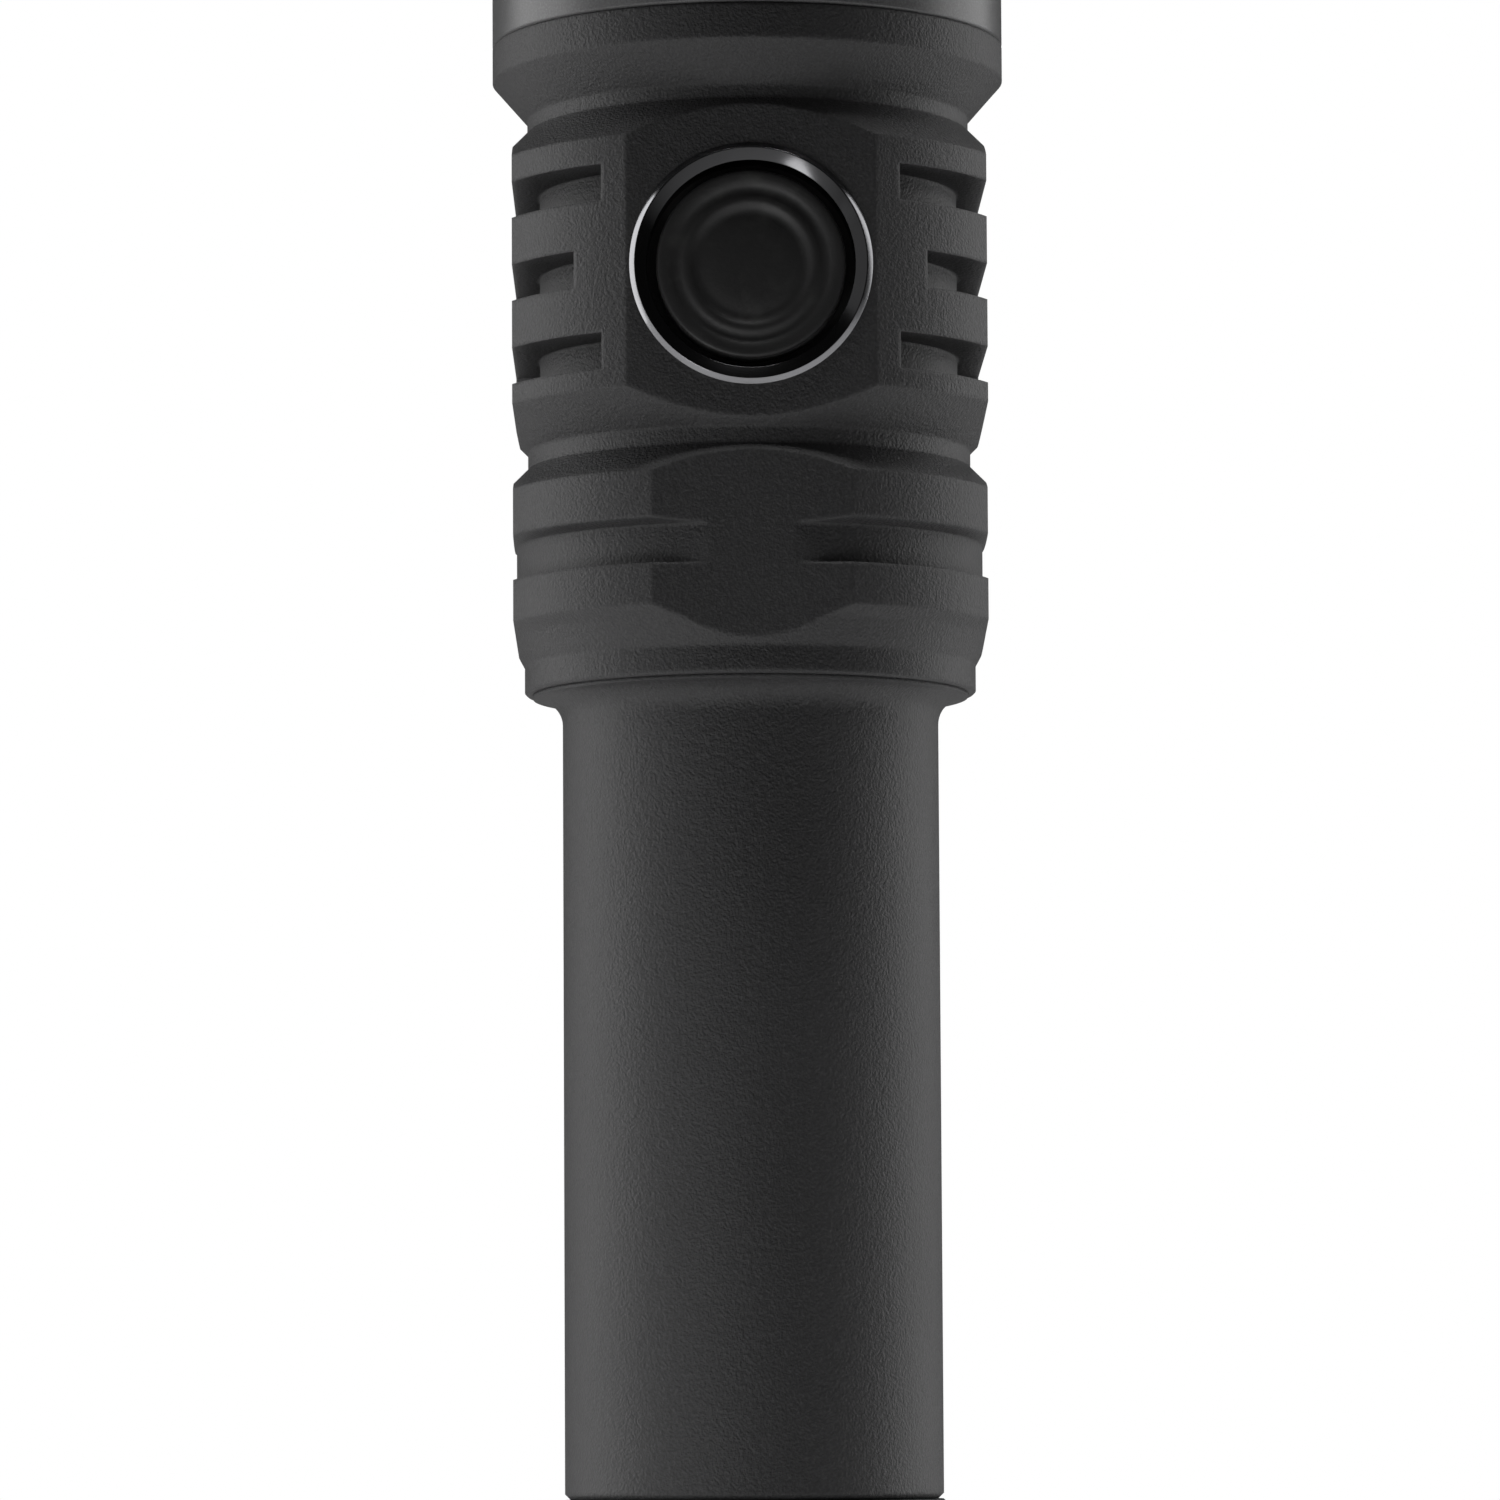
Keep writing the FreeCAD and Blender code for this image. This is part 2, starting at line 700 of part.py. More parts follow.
def add_box(label, width, depth, height, x, y, z):
    """Block centred on x and y with its lower face at z."""
    block = doc.addObject("Part::Box", label)
    bind(block, Length=width, Width=depth, Height=height)
    for axis, size in (("x", x - width / 2), ("y", y - depth / 2), ("z", z)):
        block.setExpression(f"Placement.Base.{axis}", text_of(size))
    return block


def add_cylinder(label, radius, height, x, y, z):
    post = doc.addObject("Part::Cylinder", label)
    bind(post, Radius=radius, Height=height)
    for axis, size in (("x", x), ("y", y), ("z", z)):
        post.setExpression(f"Placement.Base.{axis}", text_of(size))
    return post


def group(label, pieces):
    """Separate solids that share one name."""
    compound = doc.addObject("Part::Compound", label)
    compound.Label = label
    compound.Links = pieces


def make_driver():
    body = tube_piece("driver_board", 0, p.driver_radius, p.driver_low, p.driver_high)
    leads = add_sketch(body, "XY_Plane", away=p.driver_high)
    for side in (-1, 1):
        draw_circle(leads, p.lead_reach * side, 0, c.lead_radius)
    add_feature(body, "Pocket", leads, Length=c.driver_thickness / 2)
    bore = p.driver_ring_bore
    ring = tube_piece("driver_retaining_ring", bore, p.driver_radius, p.driver_ring_low, p.driver_low)
    drill_spanner_holes(ring, bore, p.driver_low, c.driver_ring_thickness)
    tube_piece("driver_contact_pad", 0, c.driver_pad_radius, p.driver_pad_low, p.driver_low)
    make_spring("driver_spring", p.cell_high)
    coil = add_cylinder("inductor", c.coil_radius, c.coil_height, 0, c.coil_reach, p.driver_high)
    chip = add_box("controller", c.chip_width, c.chip_width, c.chip_height,
                   -c.chip_reach, -c.chip_shift, p.driver_high)
    switcher = add_box("switcher", c.regulator_width, c.regulator_length, c.regulator_height,
                       c.regulator_reach, -c.regulator_shift, p.driver_high)
    group("driver_components", [coil, chip, switcher])


def make_leads():
    """Two straight supply leads from the driver up to the light-emitter board."""
    low = p.driver_high - c.driver_thickness / 2
    length = p.led_board_top + c.lead_radius - low
    for label, side in (("wire_red", 1), ("wire_black", -1)):
        lead = add_cylinder(label, c.lead_radius, length, p.lead_reach * side, 0, low)
        lead.Label = label


def make_led():
    board_radius = p.cup_bore - c.led_board_gap
    body = tube_piece("led_board", 0, board_radius, p.shelf_top, p.led_board_top)
    holes = add_sketch(body, "XY_Plane", away=p.led_board_top)
    for side in (-1, 1):
        draw_circle(holes, p.lead_reach * side, 0, c.lead_radius)
        draw_circle(holes, c.led_screw_reach * side, c.led_screw_reach * side, c.screw_radius)
    add_feature(body, "Pocket", holes, Length=c.led_board_thickness)
    package = add_box("led_emitter", c.led_width, c.led_width, c.led_height, Size(0, "0"), Size(0, "0"),
                      p.led_board_top)
    package.Label = "led_emitter"
    dome_low = p.led_board_top + c.led_height
    turned("led_dome", [
        (0, dome_low), (c.dome_radius, dome_low), (c.dome_radius, dome_low + c.dome_height * 0.25),
        (c.dome_radius * 0.75, dome_low + c.dome_height * 0.75),
        (c.dome_radius * 0.35, dome_low + c.dome_height),
        (0, dome_low + c.dome_height),
    ])
    hole = reflector_focal_length() * 2
    outer = Size(hole + number(c.reflector_wall), repr(hole + number(c.reflector_wall)))
    tube_piece("centering_ring", c.centering_bore, outer, p.led_board_top, p.focus)
    screws = []
    top = p.led_board_top
    low = p.shelf_top - c.screw_length
    for side in (-1, 1):
        reach = c.led_screw_reach * side
        head = add_cylinder("screw_head", c.screw_head_radius, c.screw_head_height, reach, reach, top)
        shank = add_cylinder("screw_shank", c.screw_radius, p.led_board_top - low, reach, reach, low)
        screw = doc.addObject("Part::Fuse", "screw")
        screw.Base = head
        screw.Tool = shank
        screws.append(screw)
    group("led_board_screws", screws)


def reflector_focal_length():
    """Focal length of the paraboloid that meets its mouth's radius at the reflector's depth."""
    mouth = number(p.lens_bore - c.reflector_margin)
    depth = number(c.reflector_depth)
    return (math.hypot(depth, mouth) - depth) / 2


def make_reflector():
    """Parabolic cup with its focus at the emitter, and a rim that the lens sits on."""
    focal = reflector_focal_length()
    focus = number(p.focus)
    top = number(p.reflector_top)
    wall = number(c.reflector_wall)
    rim = number(c.reflector_rim)
    steps = 12
    heights = [focus + (top - focus) * step / steps for step in range(steps + 1)]
    inner = [Vector(2 * math.sqrt(focal * (height - focus + focal)), 0, height) for height in heights]
    rim_height = top - rim
    last = sum(height < rim_height - 0.5 for height in heights)
    outer = [Vector(point.x + wall, 0, point.z) for point in inner[:last]]
    under_rim = 2 * math.sqrt(focal * (rim_height - focus + focal)) + wall
    outer.append(Vector(under_rim, 0, rim_height))
    curves = []
    for points in (inner, outer):
        curve = Part.BSplineCurve()
        curve.interpolate(points)
        curves.append(curve.toShape())
    edge = number(p.lens_radius)
    corners = [inner[-1], Vector(edge, 0, top), Vector(edge, 0, rim_height), outer[-1]]
    lines = [Part.makeLine(first, second) for first, second in zip(corners, corners[1:])]
    lines.append(Part.makeLine(outer[0], inner[0]))
    face = Part.Face(Part.Wire(Part.__sortEdges__(curves + lines)))
    solid = face.revolve(Vector(0, 0, 0), Vector(0, 0, 1), 360)
    reflector = doc.addObject("Part::Feature", "reflector")
    reflector.Label = "reflector"
    reflector.Shape = solid


def make_upper_head():
    edge = c.edge_break
    ring_top = p.head_top + c.collar_ring_height
    groove_top = ring_top + c.groove_height
    flare_top = groove_top + c.flare_height
    bore_low = p.reflector_top - c.reflector_rim - c.flare_height
    body = turned("upper_head", [
        (p.spigot_bore, p.led_board_top), (p.spigot_radius, p.led_board_top), (p.spigot_radius, p.head_top),
        (p.collar_radius - edge, p.head_top), (p.collar_radius, p.head_top + edge),
        (p.collar_radius, ring_top), (p.collar_radius - c.groove_depth, ring_top + c.groove_depth),
        (p.collar_radius - c.groove_depth, groove_top), (p.face_radius, flare_top),
        (p.face_radius, p.bezel_seat), (p.bezel_bore, p.bezel_seat),
        (p.bezel_bore, p.bezel_low - c.lens_seal), (p.lens_bore, p.bezel_low - c.lens_seal),
        (p.lens_bore, bore_low), (p.spigot_bore, p.head_top),
    ])
    seal_low = p.head_top - c.seal_setback - c.seal_width
    seal_floor = p.spigot_radius - c.seal_depth
    ring_groove(body, seal_floor, p.spigot_radius + 0.5, seal_low, seal_low + c.seal_width)
    first = flare_top + c.groove_pitch
    floor = p.face_radius - c.groove_depth
    cooling = ring_groove(body, floor, p.face_radius + 1, first, first + c.groove_height)
    repeat_along(body, cooling, c.groove_pitch, Size(3, "3"))
    make_seal("head_o_ring", p.spigot_radius - c.seal_depth, seal_low + c.seal_width / 2)


def make_lens():
    edge = c.edge_break
    turned("lens", [
        (0, p.reflector_top), (p.lens_radius - edge, p.reflector_top),
        (p.lens_radius, p.reflector_top + edge), (p.lens_radius, p.lens_top - edge),
        (p.lens_radius - edge, p.lens_top), (0, p.lens_top),
    ])
    ring = doc.addObject("Part::Torus", "lens_o_ring")
    ring.Label = "lens_o_ring"
    bind(ring, Radius1=p.lens_radius - c.lens_seal * 1.5, Radius2=c.lens_seal)
    ring.setExpression("Placement.Base.z", (p.lens_top + c.lens_seal).text)


def make_bezel():
    edge = c.edge_break * 3
    throat = c.notch_depth + c.edge_break
    body = turned("bezel_ring", [
        (p.bezel_opening, p.bezel_low), (p.bezel_thread, p.bezel_low), (p.bezel_thread, p.bezel_seat),
        (p.face_radius, p.bezel_seat), (p.face_radius, p.bezel_top - edge),
        (p.face_radius - edge, p.bezel_top), (p.bezel_opening + throat, p.bezel_top),
        (p.bezel_opening, p.bezel_top - throat),
    ])
    half = c.notch_width / 2
    low = p.bezel_top - c.notch_depth
    sketch = add_sketch(body, "XZ_Plane")
    draw_outline(sketch, [
        (-half, p.bezel_top + 1), (-half + c.notch_depth, low),
        (half - c.notch_depth, low), (half, p.bezel_top + 1),
    ])
    notch = add_feature(body, "Pocket", sketch, Length=p.face_radius * 3)
    notch.SideType = "Symmetric"
    span = Size(360, "360") - Size(720, "720") / c.notch_count
    repeat_around(body, notch, c.notch_count / 2, span / 2)


def make_switch_rim():
    """Metal ring round the button: a chamfered rim, a cone down to a lip and a threaded barrel."""
    face = p.front_flat + c.switch_rim_rise
    barrel = c.switch_bore_radius - c.thread_gap
    inner = c.switch_rim_radius - c.switch_rim_edge - 0.05
    body = turned("switch_bezel", [
        (c.switch_lip_radius, p.boot_flange_top), (barrel, p.boot_flange_top), (barrel, p.front_flat),
        (c.switch_rim_radius, p.front_flat), (c.switch_rim_radius, face - c.switch_rim_edge),
        (c.switch_rim_radius - c.switch_rim_edge, face), (inner, face),
        (c.switch_lip_radius, face - c.switch_lip_drop),
    ])
    face_sideways(body, p.switch)


def make_boot():
    """Rubber button: a dished crown with a raised rim, on a flange under the metal ring."""
    groove = p.boot_top - c.boot_groove_depth
    dish = p.boot_top - c.boot_dish_depth
    half = c.boot_groove_width / 2
    body = turned("switch_boot", [
        (0, p.button_disc_top), (c.button_disc_radius, p.button_disc_top), (c.button_disc_radius, p.boot_low),
        (c.switch_bore_radius - 0.2, p.boot_low), (c.switch_bore_radius - 0.2, p.boot_flange_top),
        (c.boot_radius, p.boot_flange_top), (c.boot_radius, p.boot_top - c.boot_edge),
        (c.boot_radius - c.boot_edge, p.boot_top), (c.boot_crest_radius + half * 2, p.boot_top),
        (c.boot_crest_radius + half, groove), (c.boot_crest_radius, p.boot_top),
        (c.boot_dish_radius, p.boot_top - c.boot_groove_depth / 2),
        (c.boot_dish_radius * 0.6, dish + c.boot_groove_depth / 2), (0, dish),
    ])
    face_sideways(body, p.switch)


def make_button_stack():
    """What the button presses, from the head's axis outwards."""
    board = tube_piece("switch_board", 0, c.switch_bore_radius - 0.2, p.switch_floor, p.switch_board_top)
    face_sideways(board, p.switch)
    half = c.switch_body_width / 2
    housing = add_body("tact_switch")
    sketch = add_sketch(housing, "XY_Plane", away=p.switch_board_top)
    draw_outline(sketch, [(-half, -half), (half, -half), (half, half), (-half, half)])
    add_feature(housing, "Pad", sketch, Length=c.switch_body_height)
    well = add_sketch(housing, "XY_Plane", away=p.switch_body_top)
    draw_circle(well, 0, 0, c.plunger_radius + c.thread_gap)
    add_feature(housing, "Pocket", well, Length=c.switch_body_height - c.switch_well_floor)
    face_sideways(housing, p.switch)
    plunger_low = p.switch_board_top + c.switch_leg_gap + c.button_travel
    plunger_high = p.boot_low - c.button_travel
    plunger = tube_piece("switch_plunger", 0, c.plunger_radius, plunger_low, plunger_high)
    face_sideways(plunger, p.switch)
    disc_low = p.boot_low + c.button_disc_gap
    flange = c.plunger_radius + c.plunger_flange
    disc = c.button_disc_radius - c.button_disc_gap / 2
    insert = turned("button_insert", [
        (0, plunger_high), (flange, plunger_high), (flange, disc_low), (disc, disc_low),
        (disc, p.button_disc_top), (0, p.button_disc_top),
    ])
    face_sideways(insert, p.switch)
    spacer_top = p.boot_low - c.button_travel - c.button_disc_gap
    spacer = tube_piece("switch_spacer", c.boot_radius - c.spacer_bore_gap,
                        c.switch_bore_radius - c.button_disc_gap, p.switch_board_top, spacer_top)
    face_sideways(spacer, p.switch)


def make_switch_wires():
    """Two thin wires from the back of the switch board down to the driver, bent once."""
    bend = number(c.switch_wire_bend)
    radius = number(c.switch_wire_radius)
    spread = number(c.switch_wire_spread)
    start_y = -number(p.switch_floor)
    run_y = start_y + number(c.switch_wire_run)
    height = number(p.switch)
    low = number(p.driver_high)
    wires = []
    for x in (-spread, spread):
        corner = Vector(x, run_y, height)
        arc = Part.Arc(
            corner - Vector(0, bend, 0),
            corner + Vector(0, -bend, -bend) + Vector(0, math.sin(math.pi / 4), math.cos(math.pi / 4)) * bend,
            corner - Vector(0, 0, bend),
        )
        path = Part.Wire([
            Part.makeLine(Vector(x, start_y, height), corner - Vector(0, bend, 0)),
            arc.toShape(),
            Part.makeLine(corner - Vector(0, 0, bend), Vector(x, run_y, low)),
        ])
        section = Part.Wire(Part.makeCircle(radius, Vector(x, start_y, height), Vector(0, 1, 0)))
        wires.append(path.makePipeShell([section], True, False))
    pair = doc.addObject("Part::Feature", "switch_wires")
    pair.Label = "switch_wires"
    pair.Shape = Part.makeCompound(wires)


HIDDEN_TOOLS = ("inductor", "controller", "switcher", "screw")


def sub_parts():
    """Every object that is a piece in its own right, by its label."""
    pieces = {}
    for item in doc.Objects:
        owned = item.getParentGeoFeatureGroup() is not None
        used = item.Name.startswith(HIDDEN_TOOLS)
        if item.isDerivedFrom("Part::Feature") and not owned and not used:
            pieces[item.Label] = item
    return pieces


def check_document():
    for item in doc.Objects:
        faults = [word for word in item.State if word in ("Invalid", "Error")]
        if faults:
            raise RuntimeError(f"{item.Label} ({item.TypeId}) is {faults}")
    for label, item in sub_parts().items():
        if item.Shape.isNull() or not item.Shape.isValid():
            raise RuntimeError(f"{label} has no valid shape")


def write_parts():
    os.makedirs("parts", exist_ok=True)
    for label, item in sub_parts().items():
        item.Shape.exportStep(os.path.join("parts", f"{label}.step"))
        print(f"{label:24s} {item.Shape.Volume:12.1f} mm3, {len(item.Shape.Solids)} solid")


make_tailcap()
make_tail_contacts()
make_battery_tube()
make_cell()
make_lower_head()
make_driver()
make_leads()
make_led()
make_reflector()
make_upper_head()
make_lens()
make_bezel()
make_switch_rim()
make_boot()
make_button_stack()
make_switch_wires()
doc.recompute()
check_document()
write_parts()
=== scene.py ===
"""Looks of a side-switch tactical flashlight, built around its fixed frame.

Every solid of the frame keeps its place and takes its finish here. The rubber button, the
metal ring round it and the cell's shrunk sleeve are turned again in finer detail.
"""

import logging
import math
from abc import ABC, abstractmethod
from dataclasses import dataclass
from enum import Enum
from typing import Iterable, Optional, Sequence

import bpy
from mathutils import Matrix, Vector


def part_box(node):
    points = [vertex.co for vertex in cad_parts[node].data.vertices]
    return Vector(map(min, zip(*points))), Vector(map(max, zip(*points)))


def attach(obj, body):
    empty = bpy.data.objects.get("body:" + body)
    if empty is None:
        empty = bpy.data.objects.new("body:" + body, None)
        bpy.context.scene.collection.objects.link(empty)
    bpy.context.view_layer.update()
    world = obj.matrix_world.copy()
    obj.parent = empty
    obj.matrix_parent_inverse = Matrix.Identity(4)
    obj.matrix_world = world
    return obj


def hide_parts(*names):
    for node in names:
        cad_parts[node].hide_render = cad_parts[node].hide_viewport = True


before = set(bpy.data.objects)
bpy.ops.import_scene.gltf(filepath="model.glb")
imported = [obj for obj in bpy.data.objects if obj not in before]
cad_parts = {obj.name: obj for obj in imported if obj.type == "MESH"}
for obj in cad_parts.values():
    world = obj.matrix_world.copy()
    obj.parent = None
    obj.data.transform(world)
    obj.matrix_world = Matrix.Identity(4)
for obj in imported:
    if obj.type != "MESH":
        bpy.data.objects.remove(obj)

LOG = logging.getLogger("flashlight")
MM = 0.001
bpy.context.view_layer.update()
SWITCH_HEIGHT = sum(corner.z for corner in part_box("switch_bezel")) / 2
Colour = tuple[float, float, float]


class Body(Enum):
    """The moving bodies that new pieces ride on."""

    HEAD = "head"
    BUTTON = "button"
    CELL = "cell"


class Axis(Enum):
    """Directions that a piece is turned round."""

    UP = (0.0, 0.0, 1.0)
    OUT = (0.0, -1.0, 0.0)


def shade_of(colour: Colour, share: float) -> Colour:
    """Gives a colour made lighter or darker by a share of itself."""
    return tuple(value * share for value in colour)


# ---------------------------------------------------------------------------
# Node trees
# ---------------------------------------------------------------------------


class NodeBench:
    """A node tree with short ways to add nodes and join them."""

    def __init__(self, tree: bpy.types.NodeTree) -> None:
        """Keeps the tree that nodes are added to."""
        self.tree = tree

    def add(self, kind: str, **settings: object) -> bpy.types.Node:
        """Adds a node.

        Args:
            kind: The node's type, without its leading ShaderNode.
            settings: Attributes of the node, or values of its inputs by name.

        Returns:
            The new node.
        """
        node = self.tree.nodes.new(f"ShaderNode{kind}")
        for name, value in settings.items():
            if hasattr(node, name):
                setattr(node, name, value)
            else:
                node.inputs[name.replace("_", " ").title()].default_value = value
        return node

    def join(self, source: bpy.types.NodeSocket, target: bpy.types.NodeSocket) -> None:
        """Joins an output to an input."""
        self.tree.links.new(source, target)

    def calculate(
        self, operation: str, *terms: object, clamp: bool = False
    ) -> bpy.types.NodeSocket:
        """Adds a Math node.

        Args:
            operation: The Math node's operation.
            terms: Sockets or plain numbers, in the node's order.
            clamp: Whether the result stays between 0 and 1.

        Returns:
            The result's socket.
        """
        node = self.add("Math", operation=operation, use_clamp=clamp)
        for place, term in enumerate(terms):
            if isinstance(term, (int, float)):
                node.inputs[place].default_value = term
            else:
                self.join(term, node.inputs[place])
        return node.outputs[0]

    def blend(
        self, mask: bpy.types.NodeSocket, first: object, second: object
    ) -> bpy.types.NodeSocket:
        """Mixes two colours by a mask.

        Args:
            mask: How much of the second colour shows.
            first: A colour, or a socket that gives one.
            second: A colour, or a socket that gives one.

        Returns:
            The mixed colour's socket.
        """
        node = self.add("Mix", data_type="RGBA")
        self.join(mask, node.inputs["Factor"])
        colours = [socket for socket in node.inputs if socket.type == "RGBA"]
        for socket, value in zip(colours, (first, second)):
            if isinstance(value, tuple):
                socket.default_value = (*value, 1.0)
            else:
                self.join(value, socket)
        return next(socket for socket in node.outputs if socket.type == "RGBA")

    def spread(self, value: bpy.types.NodeSocket, low: float, high: float) -> bpy.types.NodeSocket:
        """Maps a value of 0 to 1 onto the range from low to high."""
        node = self.add("MapRange")
        self.join(value, node.inputs["Value"])
        node.inputs["To Min"].default_value = low
        node.inputs["To Max"].default_value = high
        return node.outputs["Result"]

    def noise(
        self, vector: bpy.types.NodeSocket, scale: object, detail: float = 4.0
    ) -> bpy.types.NodeSocket:
        """Adds a noise texture and gives its value's socket."""
        node = self.add("TexNoise", detail=detail)
        self.join(vector, node.inputs["Vector"])
        if isinstance(scale, (int, float)):
            node.inputs["Scale"].default_value = scale
        else:
            self.join(scale, node.inputs["Scale"])
        return node.outputs["Fac"]

    def object_place(self) -> bpy.types.NodeSocket:
        """Gives the socket of a point's place on its object."""
        return self.add("TexCoord").outputs["Object"]


class Effect(ABC):
    """A surface effect that several finishes share, kept as one node group."""

    title: str
    inlets: dict[str, float]
    outlets: dict[str, str]

    def group(self) -> bpy.types.NodeTree:
        """Gives the effect's node group, made the first time that it is asked for."""
        made = bpy.data.node_groups.get(self.title)
        if made is not None:
            return made
        tree = bpy.data.node_groups.new(self.title, "ShaderNodeTree")
        for name, value in self.inlets.items():
            socket = tree.interface.new_socket(name, in_out="INPUT", socket_type="NodeSocketFloat")
            socket.default_value = value
        for name, kind in self.outlets.items():
            tree.interface.new_socket(name, in_out="OUTPUT", socket_type=kind)
        bench = NodeBench(tree)
        source = tree.nodes.new("NodeGroupInput")
        sink = tree.nodes.new("NodeGroupOutput")
        self.fill(bench, source, sink)
        return tree

    @abstractmethod
    def fill(self, bench: NodeBench, source: bpy.types.Node, sink: bpy.types.Node) -> None:
        """Puts the effect's nodes between the group's input and output."""

    def place(self, bench: NodeBench, **values: float) -> bpy.types.Node:
        """Puts the effect in a material.

        Args:
            bench: The material's node tree.
            values: The effect's inputs for this material, by name.

        Returns:
            The group node.
        """
        node = bench.tree.nodes.new("ShaderNodeGroup")
        node.node_tree = self.group()
        for name, value in values.items():
            node.inputs[name].default_value = value
        return node


class BlastGrain(Effect):
    """Fine even pitting that bead blasting leaves, with broad soft mottling over it."""

    title = "blast_grain"
    inlets = {"Fineness": 5200.0, "Mottle": 70.0}
    outlets = {
        "Height": "NodeSocketFloat", "Speckle": "NodeSocketFloat", "Cloud": "NodeSocketFloat",
    }
    coarse_share = 0.37
    coarse_height = 0.6
    speckle_power = 3.0

    def fill(self, bench: NodeBench, source: bpy.types.Node, sink: bpy.types.Node) -> None:
        """Joins two sizes of pit and one cloud."""
        place = bench.object_place()
        fineness = source.outputs["Fineness"]
        fine = bench.noise(place, fineness, detail=2.0)
        broader = bench.calculate("MULTIPLY", fineness, self.coarse_share)
        coarse = bench.noise(place, broader, detail=3.0)
        lower = bench.calculate("MULTIPLY", coarse, self.coarse_height)
        bench.join(bench.calculate("ADD", fine, lower), sink.inputs["Height"])
        speckle = bench.calculate("POWER", fine, self.speckle_power, clamp=True)
        bench.join(speckle, sink.inputs["Speckle"])
        bench.join(bench.noise(place, source.outputs["Mottle"], detail=5.0), sink.inputs["Cloud"])


class BrokenEdge(Effect):
    """Edges rounded by a hair, with a mask of where handling has rubbed them."""

    title = "broken_edge"
    inlets = {"Radius": 0.12 * MM, "Wear": 0.5}
    outlets = {"Normal": "NodeSocketVector", "Rub": "NodeSocketFloat"}
    patch_scale = 900.0
    patch_gain = 9.0

    def fill(self, bench: NodeBench, source: bpy.types.Node, sink: bpy.types.Node) -> None:
        """Compares the rounded normal with the true one to find the edges."""
        bevel = bench.add("Bevel", samples=6)
        bench.join(source.outputs["Radius"], bevel.inputs["Radius"])
        true = bench.add("NewGeometry").outputs["Normal"]
        likeness = bench.add("VectorMath", operation="DOT_PRODUCT")
        bench.join(bevel.outputs["Normal"], likeness.inputs[0])
        bench.join(true, likeness.inputs[1])
        edge = bench.calculate("SUBTRACT", 1.0, likeness.outputs["Value"], clamp=True)
        broken = bench.noise(bench.object_place(), self.patch_scale, detail=3.0)
        patchy = bench.calculate("MULTIPLY", edge, bench.spread(broken, 0.0, self.patch_gain))
        rub = bench.calculate("MULTIPLY", patchy, source.outputs["Wear"], clamp=True)
        bench.join(bevel.outputs["Normal"], sink.inputs["Normal"])
        bench.join(rub, sink.inputs["Rub"])


class ToolMarks(Effect):
    """Fine rings that a lathe leaves round the upright axis."""

    title = "tool_marks"
    inlets = {"Pitch": 9000.0}
    outlets = {"Height": "NodeSocketFloat"}

    def fill(self, bench: NodeBench, source: bpy.types.Node, sink: bpy.types.Node) -> None:
        """Runs one strand of noise along the distance from the axis plus the height."""
        parts = bench.add("SeparateXYZ")
        bench.join(bench.object_place(), parts.inputs[0])
        across = bench.calculate("POWER", parts.outputs["X"], 2.0)
        along = bench.calculate("POWER", parts.outputs["Y"], 2.0)
        reach = bench.calculate("SQRT", bench.calculate("ADD", across, along))
        line = bench.calculate("ADD", reach, parts.outputs["Z"])
        strand = bench.add("TexNoise", noise_dimensions="1D", detail=2.0)
        bench.join(line, strand.inputs["W"])
        bench.join(source.outputs["Pitch"], strand.inputs["Scale"])
        bench.join(strand.outputs["Fac"], sink.inputs["Height"])


class Dust(Effect):
    """Sparse pale lint and a faint bloom, as rubber and dark plastic pick up."""

    title = "dust"
    inlets = {"Amount": 0.2, "Scale": 420.0}
    outlets = {"Mask": "NodeSocketFloat"}
    speck_level = 0.56
    speck_gain = 5.0
    cloud_scale = 160.0
    cloud_power = 1.5

    def fill(self, bench: NodeBench, source: bpy.types.Node, sink: bpy.types.Node) -> None:
        """Multiplies specks by a slow cloud."""
        place = bench.object_place()
        specks = bench.noise(place, source.outputs["Scale"], detail=8.0)
        above = bench.calculate("SUBTRACT", specks, self.speck_level, clamp=True)
        sharp = bench.calculate("MULTIPLY", above, self.speck_gain)
        cloud = bench.noise(place, self.cloud_scale, detail=2.0)
        lint = bench.calculate("MULTIPLY", sharp, bench.calculate("POWER", cloud, self.cloud_power))
        mask = bench.calculate("MULTIPLY", lint, source.outputs["Amount"], clamp=True)
        bench.join(mask, sink.inputs["Mask"])


BLAST_GRAIN = BlastGrain()
BROKEN_EDGE = BrokenEdge()
TOOL_MARKS = ToolMarks()
DUST = Dust()


# ---------------------------------------------------------------------------
# Finishes
# ---------------------------------------------------------------------------


@dataclass(frozen=True)
class Finish(ABC):
    """What every finish has: a name and a base colour."""

    name: str
    colour: Colour

    def material(self) -> bpy.types.Material:
        """Gives the finish's material, made the first time that it is asked for."""
        made = bpy.data.materials.get(self.name)
        if made is not None:
            return made
        made = bpy.data.materials.new(self.name)
        made.use_nodes = True
        made.diffuse_color = (*self.colour, 1.0)
        bench = NodeBench(made.node_tree)
        self.mix(bench, made.node_tree.nodes["Principled BSDF"])
        return made

    @abstractmethod
    def mix(self, bench: NodeBench, shader: bpy.types.Node) -> None:
        """Joins the finish's nodes to its shader."""

    def dress(self, piece: bpy.types.Object) -> None:
        """Gives a piece this finish all over."""
        piece.data.materials.clear()
        piece.data.materials.append(self.material())


def set_bump(
    bench: NodeBench,
    shader: bpy.types.Node,
    height: bpy.types.NodeSocket,
    depth: float,
    normal: Optional[bpy.types.NodeSocket] = None,
) -> None:
    """Gives a shader relief.

    Args:
        bench: The material's node tree.
        shader: The shader to raise.
        height: The relief's height socket.
        depth: How deep the relief is, in metres.
        normal: A normal that the relief is laid on.
    """
    bump = bench.add("Bump")
    bump.inputs["Distance"].default_value = depth
    bench.join(height, bump.inputs["Height"])
    if normal is not None:
        bench.join(normal, bump.inputs["Normal"])
    bench.join(bump.outputs["Normal"], shader.inputs["Normal"])


